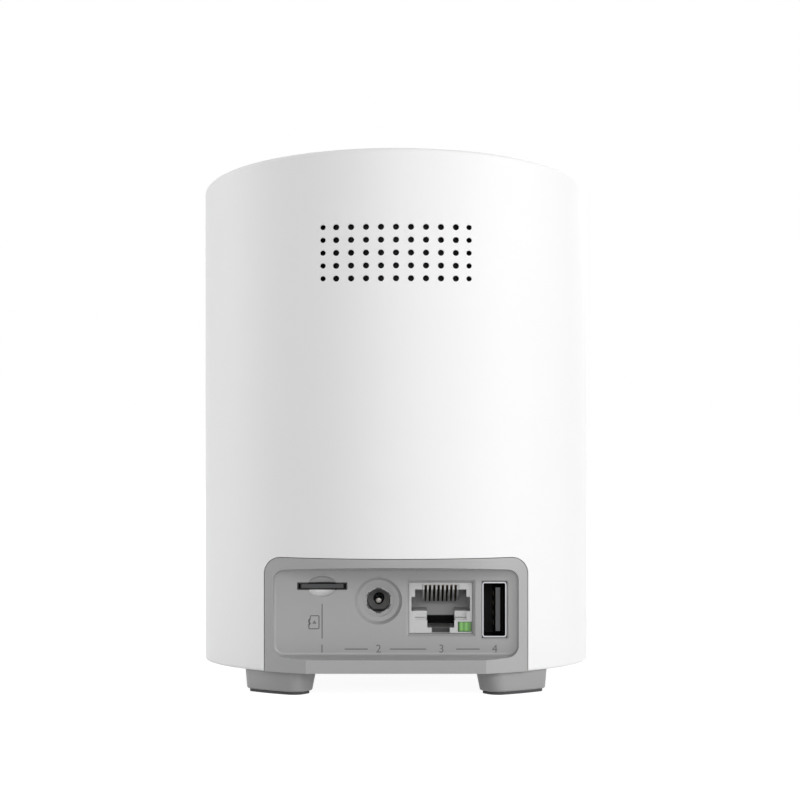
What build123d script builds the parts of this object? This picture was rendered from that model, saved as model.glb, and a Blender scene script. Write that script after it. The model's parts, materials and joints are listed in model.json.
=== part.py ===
from build123d import *
import math
import os

os.makedirs("parts", exist_ok=True)

# Lengths are in millimetres and angles in degrees. The origin is the middle of the footprint
# on the table. +Z is up, the ports face the back, +Y, and the slanted top falls to the front, -Y.

# Whole body
body_diameter = 95.0
rim_height = 120.7  # height of the slanted rim above the table, on the axis
slant_angle = 9.5
overrun = 1.0  # how far a cutting shape runs past what it cuts
bevel_angle = 45.0
fit_gap = 0.15  # clearance between mouldings that slide into each other
part_gap = 0.1  # clearance round a part that drops into its seat

# Outer shell
shell_wall = 2.2
shell_bottom_round = 0.7
shell_rim_round = 0.7
shell_ledge_width = 1.6
shell_ledge_height = 1.8
shell_boss_radius = 2.9
shell_boss_top = 14.0  # above the body's bottom
shell_boss_inset = 4.8  # from the inner wall to the boss's middle
shell_boss_web = 2.0
shell_boss_angles = (-9.0, 189.0, 270.0)

# Speaker grille in the back of the shell
grille_rows = 5
grille_columns = 9
grille_row_pitch = 3.0
grille_column_pitch = 3.5
grille_hole_radius = 0.725
grille_edge_hole_radius = 0.63
grille_edge_pitch = 3.1
grille_drop = 16.6  # from the rim on the axis down to the middle row

# Base tray and its four feet
tray_floor = 2.0
tray_wall = 1.6
tray_wall_height = 6.0
foot_height = 4.7
foot_outer_inset = 1.3  # from the body's side to the foot's upper outer edge
foot_width = 9.2
foot_half_angle = 12.5
foot_middle_angle = 41.6  # from the back axis or the front axis
foot_corner = 3.0
foot_taper = 8.7  # the outer side stays upright
foot_bottom_round = 0.5
pad_thickness = 0.7
pad_inset = 0.65
standoff_radius = 3.0
standoff_root_radius = 4.0
standoff_rib = 1.2
vent_count = 7
vent_length = 16.0
vent_width = 1.8
vent_pitch = 4.0
vent_middle_y = 8.0

# Port bay: bezel, drafted pocket and flat panel
bay_half_width = 31.2
bay_height = 27.1  # above the body's bottom
bay_corner = 4.0
panel_lead = 0.7  # the panel's face stands this far behind the bezel's upright edges
panel_thickness = 2.5
pocket_half_width = 28.9  # at the panel
pocket_floor_height = 3.8  # at the panel, above the body's bottom
pocket_ceiling_height = 24.0  # at the panel, above the body's bottom
pocket_corner = 2.4
pocket_draft = 6.0
pocket_round = 0.7
lip_depth = 6.0  # from the panel's face to the flat outer side of the lower lip

# Main board, with the port connectors hanging from its underside
board_underside_height = 21.6  # above the body's bottom
board_thickness = 1.6
board_margin = 3.3  # between the board and the shell's inner wall
board_edge_gap = 0.6  # between the board's rear edge and the port panel
board_screw_inset = 3.84  # from the board's round edge
board_screw_angle = 25.0  # of the front pair, from the X axis
board_screw_clearance = 22.5  # from the port panel's face to the rear pair

# Screws
screw_radius = 1.2
screw_head_radius = 2.3
screw_head_height = 1.5
screw_depth = 5.0  # length of thread in a boss
screw_gap = 0.05

# Memory card and its socket
card_x = 17.5
card_drop = 1.4  # from the board's underside to the card's middle
card_width = 11.0
card_length = 15.0
card_thickness = 0.75
card_ridge_thickness = 1.0
card_ridge_length = 1.6
card_step = 0.7  # the card's narrow part is this much narrower, on one side
card_step_start = 6.4  # from the outer end
card_corner = 0.8
card_setback = 0.4  # from the panel's face to the card's outer end
card_push = 0.8  # how far the card can be pushed in past its resting place
slot_width = 11.9
slot_height = 1.8
scoop_width = 7.0
scoop_height = 5.0
scoop_depth = 1.3
socket_wall = 0.25
socket_side = 1.1
socket_back = 1.4
card_room = 0.15  # clearance round the card in its socket

# Power inlet
inlet_x = 4.15
inlet_drop = 4.9
inlet_recess_radius = 5.6
inlet_recess_floor_radius = 4.9
inlet_recess_depth = 1.0
inlet_step_radius = 3.87
inlet_step_depth = 0.5
inlet_hole_radius = 2.8
inlet_lobe_radius = 3.05
inlet_lobe_width = 1.3
inlet_body_width = 9.0
inlet_body_depth = 13.5
inlet_body_chin = 4.4  # from the inlet's axis to the body's lowest side
inlet_bore_radius = 2.95
inlet_bore_depth = 8.5
inlet_pin_radius = 1.0
inlet_pin_setback = 2.4  # from the panel's face to the pin's tip
inlet_pin_root_radius = 1.3  # where the pin is held in the housing's rear wall
inlet_pin_rivet_radius = 1.8
inlet_pin_rivet_depth = 0.8
petal_count = 6
petal_thickness = 0.15
petal_length = 7.0
petal_slit = 0.5

# Network jack
lan_x = -10.6
lan_drop = 6.6
lan_window_width = 15.2
lan_window_height = 12.2
lan_window_bevel = 0.6
lan_face_setback = 1.1  # from the panel's face to the jack's face
lan_body_width = 16.2
lan_body_depth = 18.0
lan_body_chin = 6.3  # from the opening's middle to the body's underside
lan_cavity_width = 12.2
lan_cavity_height = 7.3
lan_cavity_rise = 0.7  # from the opening's middle to the cavity's middle
lan_cavity_depth = 12.5
lan_key_width = 13.9
lan_key_height = 3.4
lan_key_rise = 0.9
lan_latch_width = 6.4
lan_latch_height = 1.7
lan_latch_slot_width = 4.3
lan_latch_slot_height = 1.2
lan_latch_slot_depth = 1.6
lan_ledge_width = 2.8
lan_ledge_height = 2.2
lan_ledge_setback = 0.7
lan_ledge_groove = 0.25
lan_ledge_foot = 0.5  # height of the strip under the groove
contact_count = 8
contact_pitch = 1.016
contact_slot_width = 0.62
contact_slot_rise = 1.1  # the slots reach this far above the cavity
contact_slot_depth = 9.0
contact_width = 0.36
contact_thickness = 0.3
contact_fall = 4.1
contact_setback = 1.0
comb_rib_width = 0.4  # beside the outermost slots
comb_fall = 3.2  # the comb's rear reaches this far under the cavity's roof
comb_spine = 1.2
lan_light_x = -16.3
lan_light_width = 3.2
lan_light_height = 2.3
lan_light_depth = 6.0
lan_light_rise = 0.35  # above the jack's lower outer edge

# Upright USB socket
usb_x = -23.3
usb_drop = 6.95
usb_width = 5.15
usb_height = 12.5
usb_wall = 0.3
usb_depth = 14.0
usb_face_setback = 0.2
usb_window_bevel = 0.35
usb_tongue_thickness = 1.84
usb_tongue_height = 11.1
usb_tongue_length = 8.4
usb_tongue_offset = 0.85  # from the socket's middle to the tongue's middle
usb_tip_inset = 0.4  # the tip is this much thinner on each side
usb_tip_length = 1.5
usb_tongue_setback = 1.2
usb_contact_count = 4
usb_contact_pitch = 2.3
usb_contact_width = 1.0
usb_contact_thickness = 0.2
usb_contact_proud = 0.05
usb_contact_length = 6.2
usb_tab_shares = (0.55, 0.95)  # of the shell's depth, from its face

# Inner frame that carries the speaker and the lid
frame_half_width = 25.0
frame_wall = 2.0
frame_back_inset = 13.0  # from the rearmost point of the body to the web's rear face
frame_front = 24.0  # the flanges end this far in front of the axis
frame_web_start = 30.6  # the web starts this far above the body's bottom
frame_clearance = 5.0  # from the port panel to the flanges, under the web
frame_ear_length = 9.0
frame_ear_reach = 3.6  # past the screw's middle
frame_ear_thickness = 2.0
frame_window_width = 13.0
frame_window_height = 20.0
frame_window_rows = 2
frame_boss_radius = 3.3
frame_boss_length = 8.0
lid_screw_side_inset = 2.4  # from the flange's inner side
lid_screw_front_inset = 6.0
lid_screw_back_inset = 7.5  # from the web's rear face

# Speaker
speaker_corner = 4.0
speaker_flange = 1.2
speaker_flange_margin = 4.5  # round the mouth
speaker_basket_margin = 1.5  # round the mouth
speaker_basket_depth = 6.0
speaker_basket_wall = 1.0
speaker_basket_taper = 24.0
speaker_mouth_width = 33.0
speaker_mouth_height = 15.0
cone_thickness = 0.5
cone_depth = 3.2
cone_taper = 42.0
cone_cap_radius = 3.2
surround_width = 1.6
surround_thickness = 0.5
magnet_radius = 7.5
magnet_thickness = 5.0
yoke_radius = 6.6
yoke_thickness = 1.2
speaker_screw_inset = 2.7
small_screw_radius = 0.8
small_head_radius = 1.5
small_head_height = 0.9
small_screw_depth = 3.0

# Lid: everything that sits in the slanted mouth, measured down from the rim plane
panel_sink = 0.6
top_panel_thickness = 2.0
light_ring_sink = 0.4
light_ring_width = 2.4
light_ring_height = 4.4
carrier_rim_width = 3.2
carrier_recess = 1.2  # depth of the board's seat under the ring's seat
carrier_floor = 2.0
top_board_thickness = 1.2
light_count = 8
light_inset = 2.6
light_width = 3.0
light_depth = 1.6
light_height = 0.9
light_notch_width = 5.0
button_radius = 7.4
button_gap = 0.2
button_proud = 0.1
button_dish = 0.3
button_flange_width = 1.2
button_flange_thickness = 0.7
button_float = 0.1
switch_gap = 0.3  # room under a resting button
switch_size = 5.2
switch_plunger_radius = 1.4
switch_plunger_height = 0.3

# Reset button under the base
reset_y = -24.0
reset_radius = 1.6
reset_gap = 0.1
reset_recess = 0.8
reset_flange_radius = 2.6
reset_flange_height = 1.0
reset_guide_radius = 3.2
reset_guide_height = 8.0
reset_switch_size = 4.5
reset_switch_body = 2.6
reset_plunger_radius = 1.2
reset_plunger_height = 0.8

# Parts on the main board
chip_size = 14.0
chip_height = 1.2
sink_depth = 24.0
sink_plate = 2.0
sink_fin_height = 7.0
sink_fin_thickness = 1.2
sink_fin_count = 7
sink_clearance = 6.5  # from the frame's web to the sink
sink_side_clearance = 6.0  # from the frame's flange to the sink
shield_width = 18.0
shield_depth = 13.0
shield_height = 2.6
shield_wall = 0.3
shield_side_clearance = 3.0  # from the frame's flange to the can
shield_y = -19.0
transformer_width = 9.0
transformer_depth = 13.0
transformer_height = 5.2
transformer_y = 7.0
side_clearance = 1.5  # between what stands side by side on the board
capacitor_radius = 3.15
capacitor_height = 7.0
capacitor_rows = (-8.0, -16.0)
memory_chip_width = 8.0
memory_chip_depth = 11.0
memory_chip_height = 1.0
memory_chip_rows = (-4.0, -26.0)

# Leads and their sockets
arc_share = 0.45  # of the shorter run beside a bend
lead_radius = 0.5
lead_spread = 1.3
lead_fall_shares = (0.2, 0.42, 0.7)
coax_fall_shares = (0.26, 0.5, 0.74)
flex_fall_shares = (0.2, 0.45, 0.75)
coax_radius = 0.55
plug_width = 5.0
plug_depth = 3.6
plug_height = 3.2
coax_plug_radius = 1.3
coax_plug_height = 1.2
coax_plug_offset = 5.2  # outside the frame's flange
antenna_thickness = 0.8
antenna_width = 14.0
antenna_height = 34.0
antenna_drop = 26.3  # from the rim on the axis down to the antenna's top
flex_width = 8.0
flex_thickness = 0.3
flex_socket_width = 10.0
flex_socket_depth = 3.4
flex_socket_height = 2.2
flex_socket_y = -8.0
flex_exit_y = -14.0  # where the cable leaves the lid, measured along the slant

# Values worked out from the sizes above
body_radius = body_diameter / 2
inner_radius = body_radius - shell_wall
base_height = pad_thickness + foot_height
slope = math.tan(math.radians(slant_angle))
rim_plane = Plane(
    origin=(0, 0, rim_height),
    x_dir=(1, 0, 0),
    z_dir=(0, -math.sin(math.radians(slant_angle)), math.cos(math.radians(slant_angle))),
)
tray_top = base_height + tray_floor
tray_radius = inner_radius - fit_gap
panel_y = math.sqrt(body_radius ** 2 - bay_half_width ** 2) + panel_lead
panel_back_y = panel_y - panel_thickness
board_z = base_height + board_underside_height
board_top = board_z + board_thickness
board_radius = inner_radius - board_margin
board_back_y = panel_back_y - board_edge_gap
board_screw_ring = board_radius - board_screw_inset
board_screw_rows = (panel_y - board_screw_clearance,
                    -board_screw_ring * math.sin(math.radians(board_screw_angle)))
card_z = board_z - card_drop
inlet_z = board_z - inlet_drop
lan_z = board_z - lan_drop
usb_z = board_z - usb_drop
speaker_z = rim_height - grille_drop
web_back_y = body_radius - frame_back_inset
frame_inside = frame_half_width - frame_wall
frame_clear_y = panel_back_y - frame_clearance
lid_screw_x = frame_inside - lid_screw_side_inset
lid_screw_rows = (lid_screw_front_inset - frame_front, web_back_y - lid_screw_back_inset)
chip_y = web_back_y - frame_wall - sink_clearance - sink_depth / 2
transformer_x = frame_inside - side_clearance - transformer_width / 2
sink_left = sink_side_clearance - frame_inside
sink_right = transformer_x - transformer_width / 2 - side_clearance
sink_width = sink_right - sink_left
chip_x = (sink_left + sink_right) / 2
capacitor_x = transformer_x - side_clearance
shield_x = shield_side_clearance + shield_width / 2 - frame_inside
memory_chip_places = (
    (side_clearance / 3 + memory_chip_width / 2 - frame_inside, memory_chip_rows[0]),
    (shield_x + (shield_width + memory_chip_width) / 2 + side_clearance, memory_chip_rows[1]),
)
speaker_width = speaker_mouth_width + 2 * speaker_flange_margin
speaker_height = speaker_mouth_height + 2 * speaker_flange_margin
speaker_basket_width = speaker_mouth_width + 2 * speaker_basket_margin
speaker_basket_height = speaker_mouth_height + 2 * speaker_basket_margin
speaker_screw_x = speaker_width / 2 - speaker_screw_inset
speaker_screw_z = speaker_height / 2 - speaker_screw_inset
speaker_front_y = web_back_y + speaker_flange
foot_top_radius = body_radius - foot_outer_inset
foot_draw_in = foot_height * math.tan(math.radians(foot_taper))
lan_face_y = panel_y - lan_face_setback
lan_cavity_z = lan_z + lan_cavity_rise
lan_cavity_bottom = lan_cavity_z - lan_cavity_height / 2
lan_cavity_top = lan_cavity_z + lan_cavity_height / 2
lan_nose_bottom = lan_z - lan_window_height / 2 + part_gap
comb_width = contact_pitch * (contact_count - 1) + contact_slot_width + 2 * comb_rib_width
usb_face_y = panel_y - usb_face_setback
usb_tongue_x = usb_x - usb_tongue_offset  # the tongue stands off the socket's middle
coax_x = frame_half_width + coax_plug_offset
lead_plug_x = frame_inside - plug_width
lead_plug_y = chip_y + sink_depth / 2 + plug_depth / 2 - frame_wall
antenna_bottom = rim_height - antenna_drop - antenna_height
antenna_y = sum(board_screw_rows) / 2
lid_radius = inner_radius - fit_gap
ring_inner_radius = lid_radius - light_ring_width
panel_radius = ring_inner_radius - part_gap
panel_bottom_drop = panel_sink + top_panel_thickness
ring_seat_drop = light_ring_sink + light_ring_height
board_seat_drop = ring_seat_drop + carrier_recess
carrier_bottom_drop = board_seat_drop + carrier_floor
recess_radius = ring_inner_radius - carrier_rim_width
lid_screw_sink = carrier_floor - screw_head_height / 2
top_board_radius = recess_radius - fit_gap
top_board_drop = board_seat_drop - top_board_thickness
flange_bottom_drop = panel_bottom_drop + button_float + button_flange_thickness
shell_boss_ring = inner_radius - shell_boss_inset
reset_switch_bottom = board_z - reset_switch_body - reset_plunger_height
reset_top = reset_switch_bottom - switch_gap

up = (0, 0, 1)
down = (0, 0, -1)
backwards = (0, 1, 0)
standing = (Align.CENTER, Align.CENTER, Align.MIN)
hanging = (Align.CENTER, Align.CENTER, Align.MAX)
both_sides = (-1, 1)


# Shared shapes

def rod(start, direction, radius, length):
    """Cylinder that starts at a point and runs along a direction."""
    return Plane(origin=start, z_dir=direction).location * Cylinder(radius, length, align=standing)


def facing(y):
    """Drawing plane at a given y: X to the right, Z up, extrusions run inwards to -Y."""
    return Plane.XZ.offset(-y)


def sunk(x, z, y, width, height, depth):
    """Block whose outer face lies at y and that runs inwards by its depth."""
    return extrude(facing(y) * Pos(x, z) * Rectangle(width, height), depth)


def above_plane(shape, plane):
    """Keep what lies on the upper side of a plane."""
    return split(shape, bisect_by=plane, keep=Keep.TOP)


def under_plane(shape, plane):
    """Keep what lies on the lower side of a plane."""
    return split(shape, bisect_by=plane, keep=Keep.BOTTOM)


def lid_disc(radius, top_drop, bottom_drop):
    """Slice of an upright cylinder between two planes parallel to the slanted rim."""
    reach = body_radius * slope + (bottom_drop + overrun) / math.cos(math.radians(slant_angle))
    column = rod((0, 0, rim_height - reach), up, radius, 2 * reach)
    return above_plane(
        under_plane(column, rim_plane.offset(-top_drop)), rim_plane.offset(-bottom_drop)
    )


def lid_place(x, y, drop):
    """Place on the slanted lid, with its own Z along the lid's normal."""
    return rim_plane.offset(-drop).location * Pos(x, y)


def ring_places(count, radius, start=0.0):
    """Evenly spaced places round a circle, each turned to face outwards."""
    return [Rot(0, 0, start + 360 / count * i) * Pos(radius, 0) for i in range(count)]


def screw(radius, length, head_radius, head_height):
    """Pan-head screw with its head's underside at the origin and its shank running down."""
    head = Cylinder(head_radius, head_height, align=standing)
    head = chamfer(head.edges().group_by(Axis.Z)[-1], head_height / 3)
    return head + Cylinder(radius, length, align=hanging)


def tangent_radii(points):
    """Largest tangent arc at each corner of a route, as a share of the shorter run allows."""
    radii = []
    for before, corner, after in zip(points, points[1:], points[2:]):
        first = Vector(corner) - Vector(before)
        second = Vector(after) - Vector(corner)
        half_turn = math.radians(first.get_angle(second)) / 2
        radii.append(arc_share * min(first.length, second.length) / math.tan(half_turn))
    return radii


def tube(points, radius):
    """Round lead along straight runs joined by tangent arcs."""
    path = FilletPolyline(*points, radius=tangent_radii(points))
    start = Plane(origin=points[0], z_dir=path % 0)
    return sweep(start * Circle(radius), path=path)


# Outer shell

def bay_outline(gap, run_down):
    """Outline of the port bay with rounded upper corners, grown by a gap."""
    width = 2 * (bay_half_width + gap)
    height = bay_height + gap + run_down
    outline = Rectangle(width, height, align=(Align.CENTER, Align.MIN))
    corners = outline.vertices().sort_by(Axis.Y)[-2:]
    return Pos(0, base_height - run_down) * fillet(corners, bay_corner + gap)


def grille_holes():
    """Five rows of round holes, with a smaller hole at both ends of each row."""
    half_span = grille_column_pitch * (grille_columns - 1) / 2
    holes = []
    for row in range(grille_rows):
        z = speaker_z + grille_row_pitch * (row - (grille_rows - 1) / 2)
        for column in range(grille_columns):
            x = grille_column_pitch * column - half_span
            holes.append(rod((x, 0, z), backwards, grille_hole_radius, body_radius + overrun))
        for side in both_sides:
            x = side * (half_span + grille_edge_pitch)
            holes.append(rod((x, 0, z), backwards, grille_edge_hole_radius, body_radius + overrun))
    return holes


def make_outer_shell():
    """White cover: a tube with an oblique rim, a lid ledge, screw bosses and a bay opening."""
    height = rim_height + body_radius * slope + overrun - base_height
    body = under_plane(rod((0, 0, base_height), up, body_radius, height), rim_plane)
    body = fillet(body.edges().group_by(Axis.Z)[0], shell_bottom_round)
    body = fillet(body.faces().sort_by(Axis.Z)[-1].edges(), shell_rim_round)
    body -= rod((0, 0, base_height - overrun), up, inner_radius, height + 2 * overrun)

    ledge_bottom = carrier_bottom_drop + shell_ledge_height
    ledge = lid_disc(inner_radius + shell_wall / 2, carrier_bottom_drop, ledge_bottom)
    ledge -= lid_disc(
        inner_radius - shell_ledge_width, carrier_bottom_drop - overrun, ledge_bottom + overrun
    )
    body += ledge

    boss_bottom = tray_top + part_gap
    boss_height = base_height + shell_boss_top - boss_bottom
    boss = Pos(shell_boss_ring, 0) * Cylinder(shell_boss_radius, boss_height, align=standing)
    web = Pos(shell_boss_ring, 0) * Box(
        shell_boss_inset + shell_wall / 2, shell_boss_web, boss_height,
        align=(Align.MIN, Align.CENTER, Align.MIN),
    )
    pilot = Pos(shell_boss_ring, 0) * Cylinder(
        screw_radius + screw_gap, screw_depth + overrun, align=standing
    )
    for angle in shell_boss_angles:
        body += Pos(0, 0, boss_bottom) * Rot(0, 0, angle) * (boss + web)
        body -= Pos(0, 0, boss_bottom) * Rot(0, 0, angle) * pilot

    body -= extrude(facing(body_radius + overrun) * bay_outline(fit_gap, overrun), body_radius)
    return body - grille_holes()


# Base tray, feet and pads

def board_screw_places():
    """The four screws on one ring: a pair behind the axis and a pair in front of it."""
    return [(side * math.sqrt(board_screw_ring ** 2 - y ** 2), y)
            for side in both_sides for y in board_screw_rows]


def foot_sector(middle, side_inset, outer_inset):
    """Sharp ring sector of a foot: its ends and inner side are drawn in, and so is its arc."""
    far = foot_top_radius - outer_inset + side_inset
    reach = (far + overrun) / math.cos(math.radians(foot_half_angle))
    corners = [
        (reach * math.cos(math.radians(angle)), reach * math.sin(math.radians(angle)))
        for angle in (middle - foot_half_angle, middle + foot_half_angle)
    ]
    wedge = make_face(Polyline((0, 0), *corners, close=True))
    sector = (Circle(far) - Circle(foot_top_radius - foot_width)) & wedge
    return offset(sector, -side_inset, kind=Kind.INTERSECTION) if side_inset else sector


def foot_angles():
    """The four directions of the feet, two at the back and two at the front."""
    return [90 + foot_middle_angle, 90 - foot_middle_angle,
            270 + foot_middle_angle, 270 - foot_middle_angle]


def make_base_tray():
    """Grey base: floor, locating wall, tapered feet, board standoffs and the reset guide."""
    tray = rod((0, 0, base_height), up, tray_radius, tray_floor)
    wall = rod((0, 0, base_height), up, tray_radius, tray_floor + tray_wall_height)
    wall -= rod((0, 0, base_height), up, tray_radius - tray_wall, tray_floor + tray_wall_height)
    boss_room = Pos(shell_boss_ring, 0, tray_top) * Cylinder(
        shell_boss_radius + 2 * fit_gap, tray_wall_height + overrun, align=standing
    )
    boss_room += Pos(shell_boss_ring, 0, tray_top) * Box(
        shell_boss_inset + overrun, shell_boss_web + 4 * fit_gap, tray_wall_height + overrun,
        align=(Align.MIN, Align.CENTER, Align.MIN),
    )
    for angle in shell_boss_angles:
        wall -= Rot(0, 0, angle) * boss_room
    tray += wall

    room_height = 2 * (tray_floor + tray_wall_height)
    tray -= sunk(0, base_height + room_height / 2, body_radius + overrun,
                 2 * (bay_half_width + fit_gap), room_height,
                 body_radius + overrun - panel_back_y + fit_gap)

    under = Plane(origin=(0, 0, base_height), x_dir=(1, 0, 0), z_dir=down)
    column = rod((0, 0, pad_thickness), up, foot_top_radius, foot_height)
    for angle in foot_angles():
        foot = extrude(under * foot_sector(-angle, 0, -overrun), foot_height, taper=foot_taper)
        foot &= column
        upright = [e for e in foot.edges() if abs((e @ 1 - e @ 0).Z) > foot_height / 2]
        foot = fillet(upright, foot_corner)
        tray += fillet(foot.edges().group_by(Axis.Z)[0], foot_bottom_round)

    post = Cylinder(standoff_radius, board_z - tray_top, align=standing)
    root = Cone(standoff_root_radius, standoff_radius, standoff_root_radius, align=standing)
    rib = Box(2 * standoff_root_radius, standoff_rib, 2 * standoff_root_radius, align=standing)
    pilot = Pos(0, 0, board_z - tray_top) * Cylinder(
        screw_radius + screw_gap, screw_depth + overrun, align=hanging
    )
    for x, y in board_screw_places():
        tray += Pos(x, y, tray_top) * (post + root + rib)
        tray -= Pos(x, y, tray_top) * pilot

    guide = rod((0, reset_y, base_height), up, reset_guide_radius, tray_floor + reset_guide_height)
    tray += guide
    tray -= rod((0, reset_y, base_height - overrun), up, reset_radius + reset_gap,
                tray_floor + reset_guide_height + 2 * overrun)

    hole = Cylinder(screw_radius + 2 * screw_gap, tray_floor + 2 * overrun, align=standing)
    head = Cylinder(screw_head_radius + part_gap, screw_head_height + overrun, align=standing)
    for angle in shell_boss_angles:
        place = Rot(0, 0, angle) * Pos(shell_boss_ring, 0, base_height - overrun)
        tray -= place * hole
        tray -= place * head

    vent = extrude(SlotOverall(vent_length, vent_width), tray_floor + 2 * overrun)
    for i in range(vent_count):
        y = vent_middle_y + vent_pitch * (i - (vent_count - 1) / 2)
        tray -= Pos(0, y, base_height - overrun) * vent
    return tray


def make_foot_pads():
    """Four thin rubber pads, drawn in from the feet's lower edges."""
    pads = []
    for angle in foot_angles():
        sector = foot_sector(angle, foot_draw_in + pad_inset, pad_inset)
        pad = fillet(sector.vertices(), foot_corner - pad_inset)
        pads.append(extrude(pad, pad_thickness).solid())
    return Compound(children=pads)


# Port bay

def window(x, z, width, height, bevel):
    """Rectangular hole through the port panel with a bevelled outer edge."""
    hole = sunk(x, z, panel_y + overrun, width, height, panel_thickness + 2 * overrun)
    mouth = facing(panel_y) * Pos(x, z) * Rectangle(width + 2 * bevel, height + 2 * bevel)
    return hole + extrude(mouth, bevel, taper=bevel_angle)


def finger_scoop():
    """Shallow dish round the card slot, for a fingertip."""
    dish = scale(Sphere(1), by=(scoop_width / 2, scoop_depth, scoop_height / 2))
    return Pos(card_x, panel_y, card_z) * dish


def inlet_recess():
    """Dished recess and step of the power inlet, with a lobed hole through the panel."""
    start = (inlet_x, panel_y, inlet_z)
    inward = (0, -1, 0)
    cut = Plane(origin=start, z_dir=inward).location * Cone(
        inlet_recess_radius, inlet_recess_floor_radius, inlet_recess_depth, align=standing
    )
    cut += rod(start, inward, inlet_step_radius, inlet_recess_depth + inlet_step_depth)
    cut += rod(start, inward, inlet_hole_radius, panel_thickness + overrun)
    lobe = Box(inlet_lobe_width, panel_thickness + overrun, inlet_lobe_radius,
               align=(Align.CENTER, Align.MAX, Align.MIN))
    for i in range(petal_count):
        cut += Pos(*start) * Rot(0, 360 / petal_count * i, 0) * lobe
    return cut


def make_port_bay():
    """Grey bezel flush with the body, a drafted pocket and the panel with the port holes."""
    depth = body_radius - panel_back_y
    bay = extrude(facing(body_radius) * bay_outline(0, 0), depth)
    bay &= rod((0, 0, base_height), up, body_radius, bay_height)

    height = pocket_ceiling_height - pocket_floor_height
    middle = base_height + pocket_floor_height + height / 2
    outward = Plane(origin=(0, panel_y, middle), x_dir=(1, 0, 0), z_dir=backwards)
    mouth = RectangleRounded(2 * pocket_half_width, height, pocket_corner)
    pocket = extrude(outward * mouth, body_radius - panel_y + overrun, taper=-pocket_draft)
    pocket = fillet(pocket.faces().sort_by(Axis.Y)[0].edges(), pocket_round)
    bay -= pocket

    lip_cut_height = 2 * (middle - base_height)
    bay -= sunk(0, base_height, body_radius + overrun, 2 * body_radius, lip_cut_height,
                body_radius + overrun - panel_y - lip_depth)

    bay -= sunk(card_x, card_z, panel_y + overrun, slot_width, slot_height,
                panel_thickness + 2 * overrun)
    bay -= finger_scoop()
    bay -= inlet_recess()
    bay -= window(lan_x, lan_z, lan_window_width, lan_window_height, lan_window_bevel)
    bay -= window(usb_x, usb_z, usb_width + 2 * (usb_wall + part_gap),
                  usb_height + 2 * (usb_wall + part_gap), usb_window_bevel)
    return bay


# Main board and what stands on it

def make_main_board():
    """Round board with a straight rear edge and four screw holes."""
    board = rod((0, 0, board_z), up, board_radius, board_thickness)
    rear = Plane.XZ.offset(-board_back_y)
    board = split(board, bisect_by=rear, keep=Keep.TOP)
    for x, y in board_screw_places():
        board -= rod((x, y, board_z - overrun), up, screw_radius + 2 * screw_gap,
                     board_thickness + 2 * overrun)
    return board


def on_board(x, y, width, depth, height):
    """Block that stands on the main board."""
    return Pos(x, y, board_top) * Box(width, depth, height, align=standing)


def make_processor_chip():
    """Main processor, with a bevelled upper edge."""
    chip = on_board(chip_x, chip_y, chip_size, chip_size, chip_height)
    return chamfer(chip.edges().group_by(Axis.Z)[-1], chip_height / 4)


def make_heat_sink():
    """Finned aluminium heat sink on the processor."""
    bottom = board_top + chip_height
    sink = Pos(chip_x, chip_y, bottom) * Box(sink_width, sink_depth, sink_plate, align=standing)
    pitch = (sink_width - sink_fin_thickness) / (sink_fin_count - 1)
    for i in range(sink_fin_count):
        x = chip_x - (sink_width - sink_fin_thickness) / 2 + pitch * i
        sink += Pos(x, chip_y, bottom + sink_plate) * Box(
            sink_fin_thickness, sink_depth, sink_fin_height, align=standing
        )
    return sink


def make_radio_shield():
    """Thin metal can over the radio."""
    can = on_board(shield_x, shield_y, shield_width, shield_depth, shield_height)
    can = chamfer(can.edges().group_by(Axis.Z)[-1], shield_wall)
    return can - on_board(shield_x, shield_y, shield_width - 2 * shield_wall,
                          shield_depth - 2 * shield_wall, shield_height - shield_wall)


def make_lan_transformer():
    """Moulded transformer of the network port."""
    block = on_board(transformer_x, transformer_y, transformer_width, transformer_depth,
                     transformer_height)
    return chamfer(block.edges().group_by(Axis.Z)[-1], transformer_height / 8)


def make_capacitors():
    """Round capacitor cans, each with a rounded upper edge."""
    can = Cylinder(capacitor_radius, capacitor_height, align=standing)
    can = chamfer(can.edges().group_by(Axis.Z)[-1], capacitor_radius / 8)
    return Compound(children=[Pos(capacitor_x, y, board_top) * can for y in capacitor_rows])


def make_memory_chips():
    """Memory chips beside the processor and the radio."""
    return Compound(children=[
        on_board(x, y, memory_chip_width, memory_chip_depth, memory_chip_height)
        for x, y in memory_chip_places
    ])


# Memory card and socket

def socket_cavity(height):
    """Room for the card and its push stroke."""
    front = panel_y + overrun
    inner = panel_y - card_setback - card_length - card_push - card_room
    return sunk(card_x, card_z, front, card_width + 2 * card_room, height, front - inner)


def socket_depth():
    """How far the socket reaches in behind the port panel."""
    return card_length + card_setback + card_push + socket_back - panel_thickness


def make_card_socket_base():
    """Moulded block of the socket, under the board, with a nose that lines the panel's slot."""
    cavity_half = card_ridge_thickness / 2 + card_room
    width = card_width + 2 * (card_room + socket_side)
    bottom = card_z - cavity_half
    height = board_z - bottom
    base = sunk(card_x, bottom + height / 2, panel_back_y, width, height, socket_depth())
    nose = sunk(card_x, card_z, panel_y, slot_width - 2 * screw_gap, slot_height - 2 * screw_gap,
                panel_thickness) - finger_scoop()
    return base + nose - socket_cavity(2 * cavity_half)


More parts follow.
